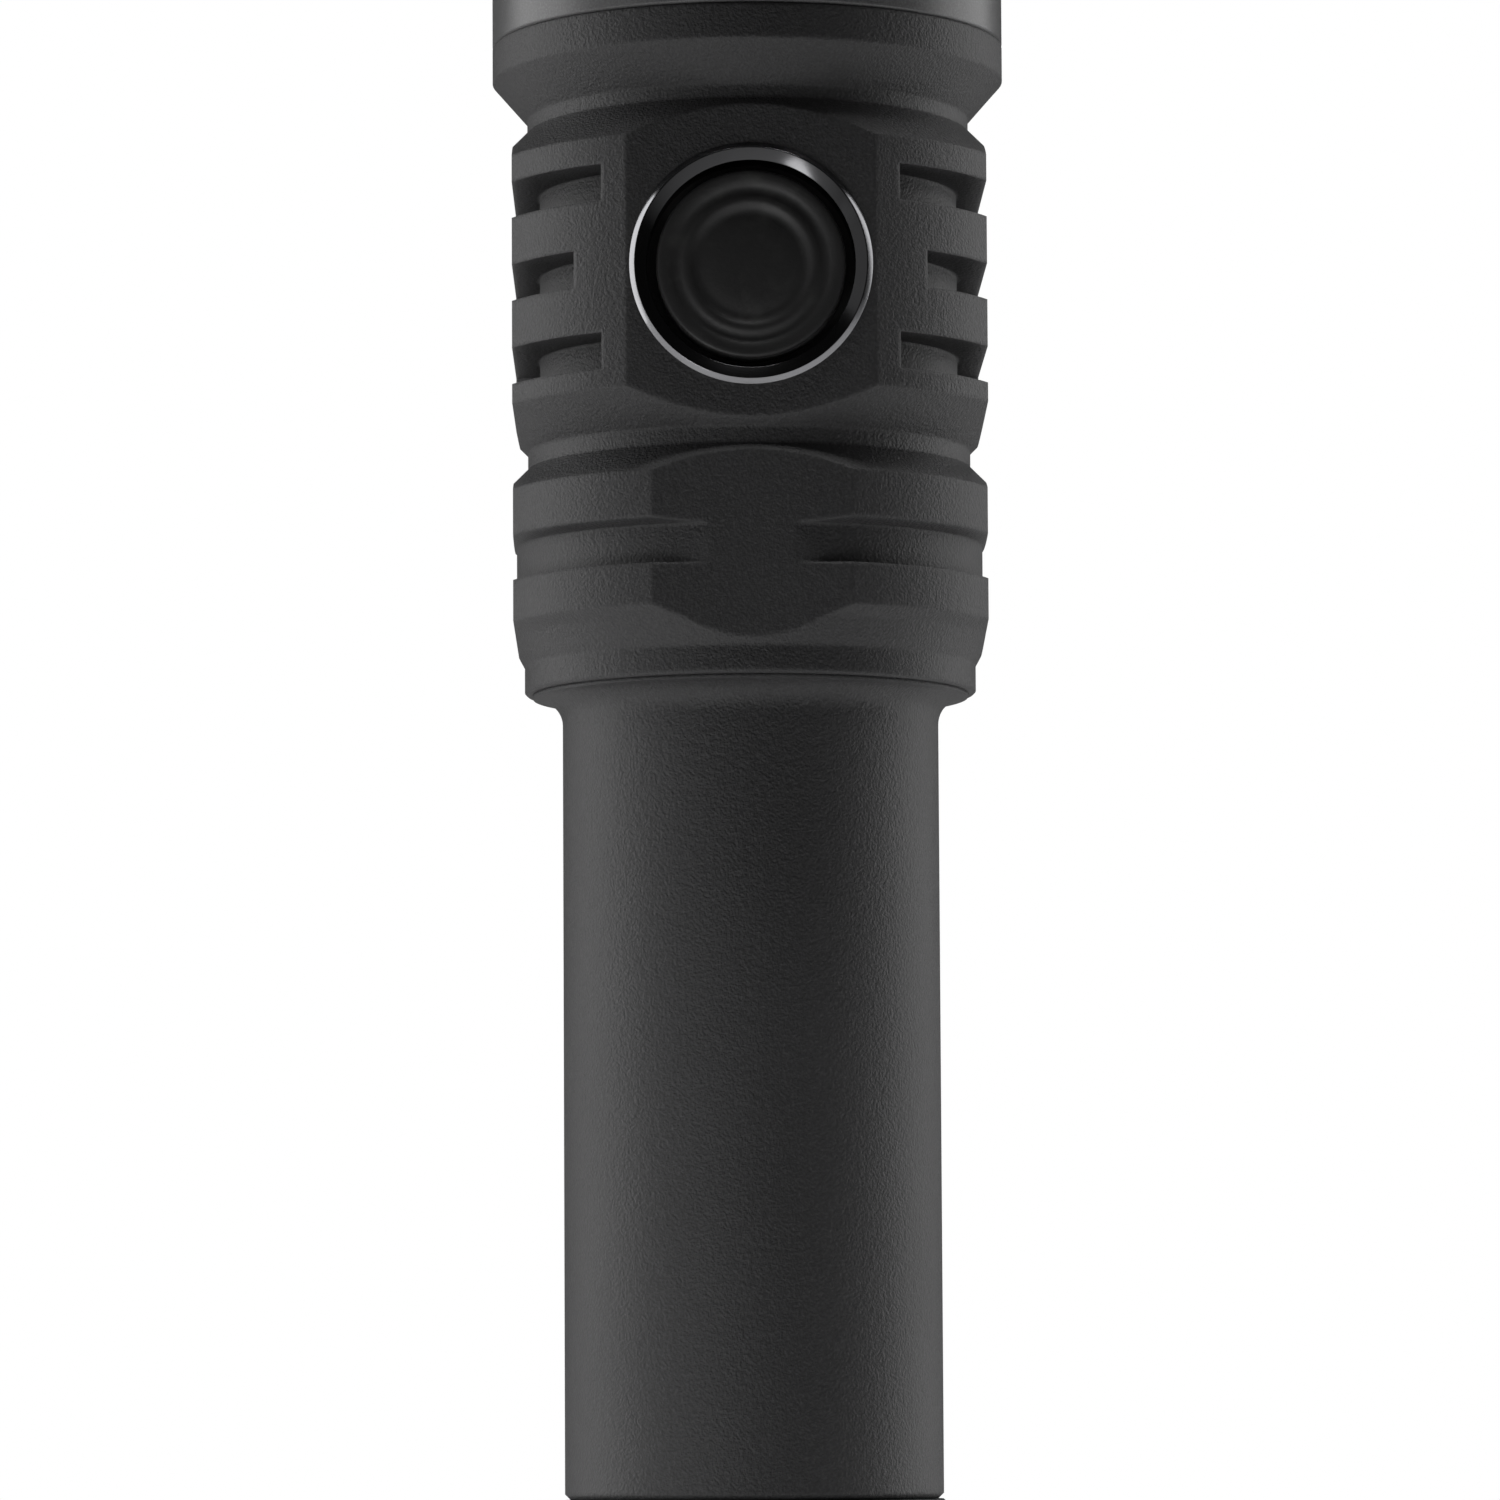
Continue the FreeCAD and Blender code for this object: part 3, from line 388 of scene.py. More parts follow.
@dataclass(frozen=True)
class Anodising(Finish):
    """Dyed anodised aluminium, blasted or left as turned."""

    rubbed: Colour = (0.12, 0.12, 0.125)
    roughness: float = 0.55
    fineness: float = 5200.0
    pit_depth: float = 0.075 * MM
    mark_depth: float = 0.0
    edge_radius: float = 0.42 * MM
    wear: float = 0.12
    specular: float = 0.5
    light_share: float = 1.35
    dark_share: float = 0.72
    speckle_share: float = 3.4
    gloss_spread: float = 0.06

    def mix(self, bench: NodeBench, shader: bpy.types.Node) -> None:
        """Mottles the dye, pits the surface and rubs its edges."""
        grain = BLAST_GRAIN.place(bench, Fineness=self.fineness)
        edge = BROKEN_EDGE.place(bench, Radius=self.edge_radius, Wear=self.wear)
        cloud = grain.outputs["Cloud"]
        light = shade_of(self.colour, self.light_share)
        dark = shade_of(self.colour, self.dark_share)
        dye = bench.blend(cloud, dark, light)
        sparkle = shade_of(self.colour, self.speckle_share)
        speckled = bench.blend(grain.outputs["Speckle"], dye, sparkle)
        worn = bench.blend(edge.outputs["Rub"], speckled, self.rubbed)
        bench.join(worn, shader.inputs["Base Color"])
        rough = bench.spread(
            cloud, self.roughness - self.gloss_spread, self.roughness + self.gloss_spread
        )
        bench.join(rough, shader.inputs["Roughness"])
        shader.inputs["Specular IOR Level"].default_value = self.specular
        height = grain.outputs["Height"]
        if self.mark_depth:
            marks = TOOL_MARKS.place(bench).outputs["Height"]
            deeper = bench.calculate("MULTIPLY", marks, self.mark_depth / self.pit_depth)
            height = bench.calculate("ADD", height, deeper)
        set_bump(bench, shader, height, self.pit_depth, edge.outputs["Normal"])


@dataclass(frozen=True)
class BareMetal(Finish):
    """Turned, plated or polished metal."""

    tarnish: Colour = (0.3, 0.3, 0.3)
    roughness: float = 0.25
    mark_depth: float = 0.002 * MM
    mark_pitch: float = 14000.0
    edge_radius: float = 0.05 * MM
    edge_wear: float = 0.2
    fineness: float = 2600.0
    mottle: float = 240.0
    tarnish_power: float = 2.2
    glossiest: float = 0.7
    dullest: float = 1.4

    def mix(self, bench: NodeBench, shader: bpy.types.Node) -> None:
        """Tarnishes the metal in clouds and leaves the tool's rings on it."""
        grain = BLAST_GRAIN.place(bench, Fineness=self.fineness, Mottle=self.mottle)
        edge = BROKEN_EDGE.place(bench, Radius=self.edge_radius, Wear=self.edge_wear)
        mottling = grain.outputs["Cloud"]
        cloud = bench.calculate("POWER", mottling, self.tarnish_power, clamp=True)
        bench.join(self.tone(bench, cloud), shader.inputs["Base Color"])
        rough = bench.spread(
            mottling, self.roughness * self.glossiest, self.roughness * self.dullest
        )
        bench.join(rough, shader.inputs["Roughness"])
        shader.inputs["Metallic"].default_value = 1.0
        marks = TOOL_MARKS.place(bench, Pitch=self.mark_pitch).outputs["Height"]
        set_bump(bench, shader, marks, self.mark_depth, edge.outputs["Normal"])

    def tone(self, bench: NodeBench, cloud: bpy.types.NodeSocket) -> bpy.types.NodeSocket:
        """Gives the metal's colour, tarnished in clouds."""
        return bench.blend(cloud, self.colour, self.tarnish)


@dataclass(frozen=True)
class PaintedHighlightRim(BareMetal):
    """Dark plated ring whose outer chamfer gets a brighter metal colour, a painted highlight, round
    an axis that faces forwards.
    """

    # Brighter metal colour on the outer chamfer: a painted highlight.
    cut: Colour = (0.26, 0.26, 0.27)
    highlight_radius: float = 7.87 * MM
    axis_height: float = 0.0

    def tone(self, bench: NodeBench, cloud: bpy.types.NodeSocket) -> bpy.types.NodeSocket:
        """Gives the brighter colour, a painted highlight, outside the highlight's radius and the
        plating's colour inside it.
        """
        parts = bench.add("SeparateXYZ")
        bench.join(bench.object_place(), parts.inputs[0])
        across = bench.calculate("POWER", parts.outputs["X"], 2.0)
        rise = bench.calculate("SUBTRACT", parts.outputs["Z"], self.axis_height)
        upwards = bench.calculate("POWER", rise, 2.0)
        reach = bench.calculate("SQRT", bench.calculate("ADD", across, upwards))
        outside = bench.calculate("GREATER_THAN", reach, self.highlight_radius)
        # Outside the radius the brighter colour is a painted highlight on the chamfer.
        return bench.blend(outside, super().tone(bench, cloud), self.cut)


@dataclass(frozen=True)
class Rubber(Finish):
    """Moulded rubber with a fine matt skin and a little dust."""

    roughness: float = 0.6
    dust: float = 0.25
    skin_depth: float = 0.006 * MM
    sheen: float = 0.05
    lint: Colour = (0.2, 0.2, 0.19)
    light_share: float = 1.4
    gloss_spread: float = 0.07
    fineness: float = 3800.0
    mottle: float = 180.0

    def mix(self, bench: NodeBench, shader: bpy.types.Node) -> None:
        """Lays dust on a softly mottled skin."""
        grain = BLAST_GRAIN.place(bench, Fineness=self.fineness, Mottle=self.mottle)
        dust = DUST.place(bench, Amount=self.dust)
        cloud = grain.outputs["Cloud"]
        skin = bench.blend(cloud, self.colour, shade_of(self.colour, self.light_share))
        bench.join(bench.blend(dust.outputs["Mask"], skin, self.lint), shader.inputs["Base Color"])
        rough = bench.spread(
            cloud, self.roughness - self.gloss_spread, self.roughness + self.gloss_spread
        )
        bench.join(rough, shader.inputs["Roughness"])
        shader.inputs["Sheen Weight"].default_value = self.sheen
        set_bump(bench, shader, grain.outputs["Height"], self.skin_depth)


@dataclass(frozen=True)
class Plastic(Finish):
    """Moulded plastic, wire insulation or shrunk sleeve."""

    roughness: float = 0.38
    ripple: float = 0.004 * MM
    ripple_scale: float = 900.0
    coat: float = 0.0
    mottle: float = 120.0
    dark_share: float = 0.8
    glossiest: float = 0.75
    dullest: float = 1.25

    def mix(self, bench: NodeBench, shader: bpy.types.Node) -> None:
        """Varies the plastic's tone and gloss along slow ripples."""
        grain = BLAST_GRAIN.place(bench, Fineness=self.ripple_scale, Mottle=self.mottle)
        cloud = grain.outputs["Cloud"]
        shade = shade_of(self.colour, self.dark_share)
        bench.join(bench.blend(cloud, self.colour, shade), shader.inputs["Base Color"])
        rough = bench.spread(
            cloud, self.roughness * self.glossiest, self.roughness * self.dullest
        )
        bench.join(rough, shader.inputs["Roughness"])
        shader.inputs["Coat Weight"].default_value = self.coat
        set_bump(bench, shader, grain.outputs["Height"], self.ripple)


@dataclass(frozen=True)
class Clear(Finish):
    """Glass or clear silicone, with faint smears that only change its gloss."""

    refraction: float = 1.5
    roughness: float = 0.01
    smear: float = 0.03
    smear_scale: float = 90.0

    def mix(self, bench: NodeBench, shader: bpy.types.Node) -> None:
        """Lets light through and smears the gloss."""
        shader.inputs["Base Color"].default_value = (*self.colour, 1.0)
        shader.inputs["Transmission Weight"].default_value = 1.0
        shader.inputs["IOR"].default_value = self.refraction
        cloud = bench.noise(bench.object_place(), self.smear_scale, detail=6.0)
        rough = bench.spread(cloud, self.roughness, self.roughness + self.smear)
        bench.join(rough, shader.inputs["Roughness"])


@dataclass(frozen=True)
class Mirror(Finish):
    """Vacuum-plated reflector with a light orange peel."""

    peel_depth: float = 0.012 * MM
    peel_scale: float = 950.0
    haze: Colour = (0.8, 0.8, 0.82)
    haze_scale: float = 60.0
    glossiest: float = 0.03
    dullest: float = 0.09

    def mix(self, bench: NodeBench, shader: bpy.types.Node) -> None:
        """Dimples a bright mirror."""
        place = bench.object_place()
        cells = bench.add("TexVoronoi", feature="SMOOTH_F1")
        bench.join(place, cells.inputs["Vector"])
        cells.inputs["Scale"].default_value = self.peel_scale
        cloud = bench.noise(place, self.haze_scale)
        bench.join(bench.blend(cloud, self.colour, self.haze), shader.inputs["Base Color"])
        bench.join(bench.spread(cloud, self.glossiest, self.dullest), shader.inputs["Roughness"])
        shader.inputs["Metallic"].default_value = 1.0
        set_bump(bench, shader, cells.outputs["Distance"], self.peel_depth)


@dataclass(frozen=True)
class Phosphor(Finish):
    """Yellow phosphor over four square dies, with dark lines between them."""

    line: Colour = (0.22, 0.15, 0.03)
    line_half_width: float = 0.07 * MM
    frame_reach: float = 1.75 * MM
    package: Colour = (0.75, 0.74, 0.7)
    powder_scale: float = 5200.0
    powder_depth: float = 0.01 * MM
    dark_share: float = 0.78
    glossiest: float = 0.45
    dullest: float = 0.7

    def mix(self, bench: NodeBench, shader: bpy.types.Node) -> None:
        """Draws the cross between the dies and the pale package round them."""
        place = bench.object_place()
        parts = bench.add("SeparateXYZ")
        bench.join(place, parts.inputs[0])
        sideways = bench.calculate("ABSOLUTE", parts.outputs["X"])
        forwards = bench.calculate("ABSOLUTE", parts.outputs["Y"])
        near = bench.calculate("MINIMUM", sideways, forwards)
        far = bench.calculate("MAXIMUM", sideways, forwards)
        cross = bench.calculate("LESS_THAN", near, self.line_half_width)
        outside = bench.calculate("GREATER_THAN", far, self.frame_reach)
        powder = bench.noise(place, self.powder_scale, detail=3.0)
        yellow = bench.blend(powder, self.colour, shade_of(self.colour, self.dark_share))
        dies = bench.blend(cross, yellow, self.line)
        bench.join(bench.blend(outside, dies, self.package), shader.inputs["Base Color"])
        bench.join(bench.spread(powder, self.glossiest, self.dullest), shader.inputs["Roughness"])
        set_bump(bench, shader, powder, self.powder_depth)


@dataclass(frozen=True)
class Board(Finish):
    """Circuit board: a lacquered face with tracks under it and bare pads."""

    track: Colour = (0.05, 0.16, 0.06)
    pad: Colour = (0.85, 0.62, 0.3)
    track_scale: float = 420.0
    track_gap: float = 0.06
    pad_scale: float = 330.0
    pad_scatter: float = 0.35
    pad_size: float = 0.17
    relief_depth: float = 0.02 * MM
    cloud_scale: float = 200.0
    glossiest: float = 0.25
    dullest: float = 0.45

    def mix(self, bench: NodeBench, shader: bpy.types.Node) -> None:
        """Lays tracks and scattered pads in the lacquer."""
        place = bench.object_place()
        tracks = bench.add("TexBrick")
        bench.join(place, tracks.inputs["Vector"])
        tracks.inputs["Scale"].default_value = self.track_scale
        tracks.inputs["Mortar Size"].default_value = self.track_gap
        cells = bench.add("TexVoronoi")
        bench.join(place, cells.inputs["Vector"])
        cells.inputs["Scale"].default_value = self.pad_scale
        cells.inputs["Randomness"].default_value = self.pad_scatter
        pads = bench.calculate("LESS_THAN", cells.outputs["Distance"], self.pad_size)
        lacquer = bench.blend(tracks.outputs["Fac"], self.colour, self.track)
        bench.join(bench.blend(pads, lacquer, self.pad), shader.inputs["Base Color"])
        bench.join(pads, shader.inputs["Metallic"])
        cloud = bench.noise(place, self.cloud_scale)
        bench.join(bench.spread(cloud, self.glossiest, self.dullest), shader.inputs["Roughness"])
        relief = bench.calculate("ADD", tracks.outputs["Fac"], pads)
        set_bump(bench, shader, relief, self.relief_depth)


BLACK_DYE: Colour = (0.0215, 0.0212, 0.0220)

BODY_ANODISING = Anodising("blasted_black_anodising", BLACK_DYE)
HEAD_ANODISING = Anodising(
    "satin_black_anodising", (0.070, 0.070, 0.071), roughness=0.34, fineness=7400.0,
    pit_depth=0.003 * MM, mark_depth=0.003 * MM, edge_radius=0.16 * MM, wear=0.7,
)
BEZEL_FINISH = BareMetal(
    "dark_plated_bezel", (0.10, 0.10, 0.105), tarnish=(0.06, 0.06, 0.062), roughness=0.24,
    mark_depth=0.003 * MM,
)
# The ring's brighter chamfer colour is a painted highlight.
SWITCH_METAL = PaintedHighlightRim(
    "black_mirror_plating", (0.066, 0.066, 0.068), tarnish=(0.050, 0.050, 0.052), roughness=0.15,
    mark_depth=0.0004 * MM, edge_radius=0.03 * MM, axis_height=SWITCH_HEIGHT,
)
BOOT_RUBBER = Rubber(
    "moulded_button_rubber", (0.0125, 0.0122, 0.0125), roughness=0.5, skin_depth=0.014 * MM,
)
SEAL_RUBBER = Rubber("greased_seal_rubber", (0.012, 0.012, 0.012), roughness=0.32, dust=0.05)
LENS_GLASS = Clear("coated_lens_glass", (0.97, 0.985, 1.0), refraction=1.5)
DOME_SILICONE = Clear("emitter_dome_silicone", (1.0, 0.99, 0.95), refraction=1.41, smear=0.05)
REFLECTOR_MIRROR = Mirror("plated_reflector", (0.93, 0.93, 0.94))
EMITTER_YELLOW = Phosphor("emitter_phosphor", (0.82, 0.60, 0.09))
WHITE_PLASTIC = Plastic("white_moulded_plastic", (0.76, 0.76, 0.73), roughness=0.42)
BLACK_COMPONENT = Plastic("black_moulded_plastic", (0.025, 0.025, 0.026), roughness=0.45)
RED_INSULATION = Plastic("red_wire_insulation", (0.48, 0.018, 0.014), roughness=0.33)
BLACK_INSULATION = Plastic("black_wire_insulation", (0.018, 0.018, 0.019), roughness=0.33)
CELL_WRAP = Plastic(
    "shrunk_cell_sleeve", (0.022, 0.085, 0.16), roughness=0.26, ripple=0.012 * MM,
    ripple_scale=260.0, coat=0.3,
)
BOARD_COPPER = Board(
    "emitter_star_board", (0.70, 0.70, 0.67), track=(0.52, 0.50, 0.46), track_scale=260.0,
)
CIRCUIT_BOARD = Board("green_circuit_board", (0.010, 0.085, 0.035))
SCREW_STEEL = BareMetal(
    "bright_screw_steel", (0.56, 0.56, 0.57), tarnish=(0.42, 0.41, 0.40), roughness=0.22,
)
CONTACT_GOLD = BareMetal(
    "gold_plated_spring", (0.95, 0.72, 0.36), tarnish=(0.80, 0.55, 0.26), roughness=0.2,
)
CONTACT_BRASS = BareMetal(
    "turned_brass", (0.80, 0.62, 0.32), tarnish=(0.55, 0.38, 0.18), roughness=0.28,
)
CELL_CAN = BareMetal(
    "nickel_plated_can", (0.66, 0.65, 0.62), tarnish=(0.50, 0.49, 0.46), roughness=0.26,
)
PALE_FLOOR = Plastic(
    "pale_floor", (0.82, 0.82, 0.82), roughness=0.7, ripple=0.02 * MM, ripple_scale=60.0,
)

FINISH_BY_SLOT: dict[str, Finish] = {
    "body_anodising": BODY_ANODISING,
    "head_anodising": HEAD_ANODISING,
    "bezel_finish": BEZEL_FINISH,
    "switch_metal": SWITCH_METAL,
    "boot_rubber": BOOT_RUBBER,
    "seal_rubber": SEAL_RUBBER,
    "lens_glass": LENS_GLASS,
    "reflector_mirror": REFLECTOR_MIRROR,
    "white_plastic": WHITE_PLASTIC,
    "emitter_yellow": EMITTER_YELLOW,
    "dome_silicone": DOME_SILICONE,
    "board_copper": BOARD_COPPER,
    "screw_steel": SCREW_STEEL,
    "circuit_board": CIRCUIT_BOARD,
    "black_component": BLACK_COMPONENT,
    "contact_gold": CONTACT_GOLD,
    "contact_brass": CONTACT_BRASS,
    "red_insulation": RED_INSULATION,
    "black_insulation": BLACK_INSULATION,
    "cell_can": CELL_CAN,
    "cell_wrap": CELL_WRAP,
}


# ---------------------------------------------------------------------------
# Modelling
# ---------------------------------------------------------------------------


@dataclass(frozen=True)
class Corner:
    """A corner of a turned outline: its radius, its reach along the axis and its rounding."""

    radius: float
    reach: float
    rounding: float = 0.0


def deselect_all() -> None:
    """Leaves nothing selected, so that the next operator acts on new geometry only."""
    bpy.ops.object.select_all(action="DESELECT")


def settle(piece: bpy.types.Object) -> None:
    """Puts a piece's place into its mesh, so that its object sits at the origin unturned."""
    deselect_all()
    piece.select_set(True)
    bpy.context.view_layer.objects.active = piece
    bpy.ops.object.transform_apply(location=True, rotation=True, scale=True)


@dataclass(frozen=True)
class Lathe:
    """Turns outlines round one axis through a centre."""

    centre: Vector
    axis: Axis
    steps: int = 160
    arc_steps: int = 6
    smooth_angle: float = math.radians(28)
    seed_size: float = 0.1 * MM
    weld: float = 0.0004 * MM
    longest_cut: float = 0.48

    def soften(self, corners: Sequence[Corner]) -> list[tuple[float, float]]:
        """Rounds an outline's corners.

        Args:
            corners: The outline's corners in order.

        Returns:
            Radius and reach of every point of the softened outline.
        """
        points = []
        for place, corner in enumerate(corners):
            here = Vector((corner.radius, corner.reach))
            inner = 0 < place < len(corners) - 1
            if not corner.rounding or not inner:
                points.append((here.x, here.y))
                continue
            before = Vector((corners[place - 1].radius, corners[place - 1].reach)) - here
            after = Vector((corners[place + 1].radius, corners[place + 1].reach)) - here
            room = min(before.length, after.length) * self.longest_cut
            cut = min(corner.rounding, room)
            start = here + before.normalized() * cut
            end = here + after.normalized() * cut
            for step in range(self.arc_steps + 1):
                share = step / self.arc_steps
                point = start.lerp(here, share).lerp(here.lerp(end, share), share)
                points.append((point.x, point.y))
        return points

    def place(self, radius: float, reach: float) -> Vector:
        """Gives the point at a radius from the axis and a reach along it."""
        if self.axis is Axis.UP:
            return Vector((self.centre.x + radius, self.centre.y, reach))
        return Vector((self.centre.x + radius, -reach, self.centre.z))

    def turn(self, name: str, corners: Sequence[Corner]) -> bpy.types.Object:
        """Turns an outline into a piece.

        Args:
            name: The piece's name.
            corners: The outline, which ends where it starts or has both ends on the axis.

        Returns:
            The turned piece, at the origin.
        """
        places = [self.place(radius, reach) for radius, reach in self.soften(corners)]
        deselect_all()
        bpy.ops.mesh.primitive_plane_add(size=self.seed_size, location=places[0])
        piece = bpy.context.active_object
        piece.name = name
        piece.data.name = name
        bpy.ops.object.mode_set(mode="EDIT")
        bpy.ops.mesh.select_all(action="SELECT")
        bpy.ops.mesh.merge(type="CENTER")
        for start, end in zip(places, places[1:]):
            bpy.ops.mesh.extrude_vertices_move(TRANSFORM_OT_translate={"value": end - start})
        bpy.ops.mesh.select_all(action="SELECT")
        bpy.ops.mesh.spin(
            steps=self.steps, angle=math.tau, center=self.centre, axis=self.axis.value
        )
        bpy.ops.mesh.select_all(action="SELECT")
        bpy.ops.mesh.remove_doubles(threshold=self.weld)
        bpy.ops.mesh.normals_make_consistent(inside=False)
        bpy.ops.object.mode_set(mode="OBJECT")
        settle(piece)
        bpy.ops.object.shade_smooth_by_angle(angle=self.smooth_angle)
        return piece


class SubAssembly(ABC):
    """A group of pieces that is built, dressed and put on its bodies together."""

    @abstractmethod
    def build(self) -> list[bpy.types.Object]:
        """Models the sub-assembly's new pieces."""


def fit_piece(piece: bpy.types.Object, finish: Finish, body: Body, node: str) -> None:
    """Dresses a new piece and lets it stand for a solid of the frame.

    Args:
        piece: The new piece.
        finish: Its finish.
        body: The body that it rides on.
        node: The frame's solid that it stands for.
    """
    finish.dress(piece)
    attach(piece, body.value)
    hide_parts(node)


@dataclass
class SideSwitch(SubAssembly):
    """Rubber button and the polished ring that holds it."""

    boot_radius: float = 6.42 * MM
    flange_radius: float = 7.40 * MM
    flange_height: float = 0.55 * MM
    disc_radius: float = 4.60 * MM
    disc_rise: float = 1.05 * MM
    edge_round: float = 0.62 * MM
    land_radius: float = 5.70 * MM
    groove_radius: float = 5.05 * MM
    groove_depth: float = 0.34 * MM
    crest_radius: float = 4.35 * MM
    crest_drop: float = 0.02 * MM
    moat_radius: float = 3.65 * MM
    moat_drop: float = 0.46 * MM
    pillow_radius: float = 2.55 * MM
    pillow_drop: float = 0.26 * MM
    middle_drop: float = 0.18 * MM
    lip_radius: float = 7.05 * MM
    lip_drop: float = 0.42 * MM
    barrel_radius: float = 7.52 * MM
    chamfer: float = 0.35 * MM
    rim_land: float = 0.05 * MM
    rim_rise: float = 0.42 * MM
    crisp: float = 0.05 * MM
    soft: float = 0.34 * MM

    def lathe(self) -> Lathe:
        """Gives a lathe on the switch's own axis."""
        low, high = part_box("switch_bezel")
        return Lathe(Vector(((low.x + high.x) / 2, 0.0, (low.z + high.z) / 2)), Axis.OUT)

    def turn_boot(self) -> bpy.types.Object:
        """Turns the button with its raised ring, its shallow pillow and its flange."""
        low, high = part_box("switch_boot")
        top, foot = -low.y, -high.y
        flange_top = foot + self.flange_height
        return self.lathe().turn("button_boot", [
            Corner(0.0, foot + self.disc_rise),
            Corner(self.disc_radius, foot + self.disc_rise),
            Corner(self.disc_radius, foot),
            Corner(self.flange_radius, foot),
            Corner(self.flange_radius, flange_top),
            Corner(self.boot_radius, flange_top),
            Corner(self.boot_radius, top, self.edge_round),
            Corner(self.land_radius, top, self.soft),
            Corner(self.groove_radius, top - self.groove_depth, self.soft),
            Corner(self.crest_radius, top - self.crest_drop, self.soft),
            Corner(self.moat_radius, top - self.moat_drop, self.soft),
            Corner(self.pillow_radius, top - self.pillow_drop, self.soft * 2),
            Corner(0.0, top - self.middle_drop),
        ])

    def turn_ring(self) -> bpy.types.Object:
        """Turns the ring with its bright chamfer and the cone down to its lip."""
        low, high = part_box("switch_bezel")
        face, foot = -low.y, -high.y
        outer = (high.x - low.x) / 2
        seat = face - self.rim_rise
        inner = outer - self.chamfer - self.rim_land
        return self.lathe().turn("button_ring", [
            Corner(self.lip_radius, foot),
            Corner(self.barrel_radius, foot),
            Corner(self.barrel_radius, seat),
            Corner(outer, seat),
            Corner(outer, face - self.chamfer, self.crisp),
            Corner(outer - self.chamfer, face, self.crisp),
            Corner(inner, face, self.crisp),
            Corner(self.lip_radius, face - self.lip_drop, self.crisp),
            Corner(self.lip_radius, foot),
        ])

    def build(self) -> list[bpy.types.Object]:
        """Models the button and its ring."""
        boot = self.turn_boot()
        fit_piece(boot, BOOT_RUBBER, Body.BUTTON, "switch_boot")
        ring = self.turn_ring()
        fit_piece(ring, SWITCH_METAL, Body.HEAD, "switch_bezel")
        return [boot, ring]


@dataclass
class CellSleeve(SubAssembly):
    """Shrunk sleeve of the cell, rolled over both ends and drawn into the can's crimp."""

    wall: float = 0.20 * MM
    roll: float = 0.12 * MM
    crimp_setback: float = 3.2 * MM
    crimp_width: float = 1.6 * MM
    crimp_depth: float = 0.10 * MM

    def build(self) -> list[bpy.types.Object]:
        """Turns the sleeve."""
        low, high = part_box("battery_wrap")
        outer = high.x
        inner = outer - self.wall
        crimp = high.z - self.crimp_setback
        half = self.crimp_width / 2
        sleeve = Lathe(Vector((0.0, 0.0, 0.0)), Axis.UP).turn("cell_sleeve", [
            Corner(inner, low.z),
            Corner(outer, low.z, self.roll),
            Corner(outer, crimp - half, self.crimp_width),
            Corner(outer - self.crimp_depth, crimp, self.crimp_width),
            Corner(outer, crimp + half, self.crimp_width),
            Corner(outer, high.z, self.roll),
            Corner(inner, high.z),
            Corner(inner, low.z),
        ])
        fit_piece(sleeve, CELL_WRAP, Body.CELL, "battery_wrap")
        return [sleeve]


@dataclass
class FrameFinishes(SubAssembly):
    """The frame's own solids, each with the finish of its slot."""

    def build(self) -> list[bpy.types.Object]:
        """Dresses every solid of the frame by the slot of the material it came with."""
        dressed = []
        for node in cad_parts.values():
            slots = [material.name.split(".")[0] for material in node.data.materials if material]
            FINISH_BY_SLOT[slots[0]].dress(node)
            dressed.append(node)
        return dressed


# ---------------------------------------------------------------------------
# Studio
# ---------------------------------------------------------------------------


@dataclass(frozen=True)
class Softbox:
    """A flat soft light: its place, what it faces, its width, height and power."""

    name: str
    place: tuple[float, float, float]
    target: tuple[float, float, float]
    width: float
    height: float
    power: float

    def hang(self) -> bpy.types.Object:
        """Hangs the light and turns it to its target."""
        lamp = bpy.data.lights.new(self.name, "AREA")
        lamp.shape = "RECTANGLE"
        lamp.size = self.width
        lamp.size_y = self.height
        lamp.energy = self.power
        light = bpy.data.objects.new(self.name, lamp)
        bpy.context.scene.collection.objects.link(light)
        light.location = self.place
        towards = Vector(self.target) - Vector(self.place)
        light.rotation_euler = towards.to_track_quat("-Z", "Y").to_euler()
        light.visible_camera = False
        return light


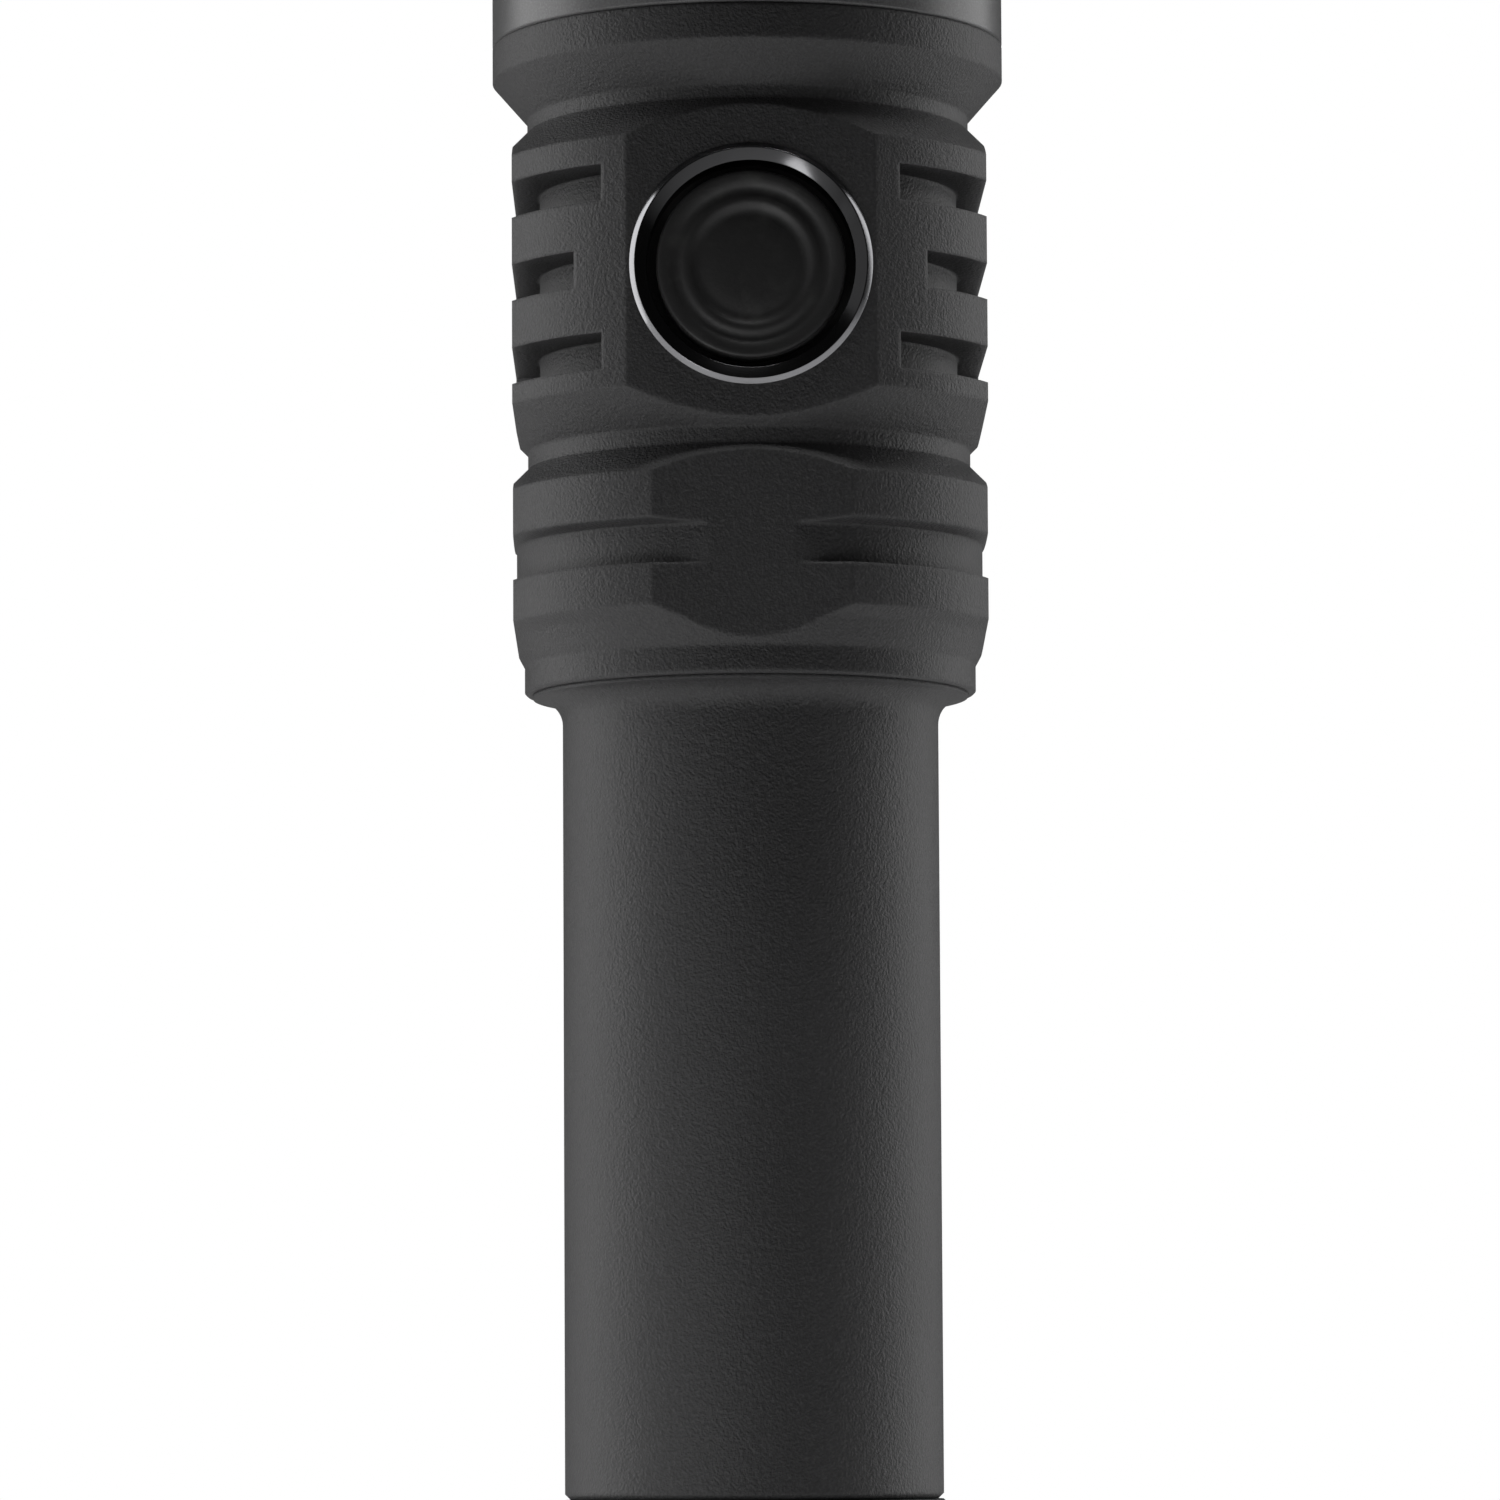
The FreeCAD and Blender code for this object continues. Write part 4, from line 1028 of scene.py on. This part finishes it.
@dataclass
class Studio:
    """Pale floor, white surroundings, soft lights and the camera."""

    floor_level: float = -112.0 * MM
    floor_radius: float = 1.25
    floor_thickness: float = 4.0 * MM
    floor_edge: float = 1.5 * MM
    seen_white: float = 1.0
    fill_white: float = 0.027
    aim_height: float = 69.2 * MM
    distance: float = 513.6 * MM
    pitch: float = math.radians(5.2)
    roll: float = math.radians(-0.30)
    swing: float = math.radians(-0.7)
    side_step: float = -0.05 * MM
    lens: float = 178.1
    sensor: float = 36.0
    softboxes: tuple[Softbox, ...] = (
        Softbox("left_softbox", (-0.46, 0.12, 0.12), (0.0, 0.0, 0.08), 0.40, 0.80, 2.3),
        Softbox("right_softbox", (0.44, 0.19, 0.12), (0.0, 0.0, 0.08), 0.40, 0.80, 1.9),
        Softbox("left_front_softbox", (-0.45, -0.30, 0.16), (0.0, 0.0, 0.10), 0.25, 0.50, 0.18),
        Softbox("overhead_softbox", (0.03, 0.02, 0.75), (0.0, 0.02, 0.0), 0.35, 0.35, 5.4),
        Softbox("floor_wash", (-0.06, -0.15, 0.008), (-0.06, -0.15, -0.112), 0.24, 0.20, 0.06),
        Softbox("low_card", (-0.062, -0.11, 0.006), (0.0, -0.016, 0.10), 0.042, 0.022, 0.022),
    )

    def lay_floor(self) -> bpy.types.Object:
        """Lays a round floor with a rolled edge, below where the tail cap comes off."""
        deselect_all()
        bpy.ops.mesh.primitive_circle_add(
            vertices=128, radius=self.floor_radius, fill_type="NGON",
            location=(0.0, 0.0, self.floor_level - self.floor_thickness),
        )
        floor = bpy.context.active_object
        floor.name = "floor"
        bpy.ops.object.mode_set(mode="EDIT")
        bpy.ops.mesh.select_all(action="SELECT")
        rise = (0.0, 0.0, self.floor_thickness)
        bpy.ops.mesh.extrude_region_move(TRANSFORM_OT_translate={"value": rise})
        bpy.ops.mesh.bevel(offset=self.floor_edge, segments=3)
        bpy.ops.mesh.select_all(action="SELECT")
        bpy.ops.mesh.normals_make_consistent(inside=False)
        bpy.ops.object.mode_set(mode="OBJECT")
        settle(floor)
        PALE_FLOOR.dress(floor)
        return floor

    def fill_world(self) -> None:
        """Makes the surroundings white to the eye and gentler as light."""
        world = bpy.data.worlds.new("white_surroundings")
        bpy.context.scene.world = world
        world.use_nodes = True
        bench = NodeBench(world.node_tree)
        background = world.node_tree.nodes["Background"]
        background.inputs["Color"].default_value = (1.0, 1.0, 1.0, 1.0)
        seen = bench.add("LightPath").outputs["Is Camera Ray"]
        strength = bench.spread(seen, self.fill_white, self.seen_white)
        bench.join(strength, background.inputs["Strength"])

    def set_camera(self) -> bpy.types.Object:
        """Stands the camera in front of the switch, a little low and looking up."""
        data = bpy.data.cameras.new("camera")
        data.lens = self.lens
        data.sensor_width = self.sensor
        camera = bpy.data.objects.new("camera", data)
        bpy.context.scene.collection.objects.link(camera)
        forwards = -math.cos(self.pitch) * self.distance
        down = -math.sin(self.pitch) * self.distance
        back = Vector((self.side_step, forwards, down))
        level = math.radians(90) + self.pitch
        tilt = Matrix.Rotation(level, 4, "X") @ Matrix.Rotation(self.roll, 4, "Z")
        swing = Matrix.Rotation(self.swing, 4, "Z")
        aim = Matrix.Translation((0.0, 0.0, self.aim_height))
        camera.matrix_world = aim @ swing @ Matrix.Translation(back) @ tilt
        bpy.context.scene.camera = camera
        return camera

    def build(self) -> None:
        """Sets up the floor, the surroundings, the lights and the camera."""
        self.lay_floor()
        self.fill_world()
        for softbox in self.softboxes:
            softbox.hang()
        self.set_camera()
        bpy.context.scene.view_settings.view_transform = "Standard"


def main() -> None:
    """Dresses the frame, models the new pieces and sets up the studio."""
    logging.basicConfig(level=logging.INFO, format="%(name)s: %(message)s")
    for assembly in (FrameFinishes(), SideSwitch(), CellSleeve()):
        pieces = assembly.build()
        for piece in pieces:
            faces = len(piece.data.polygons)
            LOG.info("%s: %s, %d faces", type(assembly).__name__, piece.name, faces)
    Studio().build()


if __name__ == "__main__":
    main()
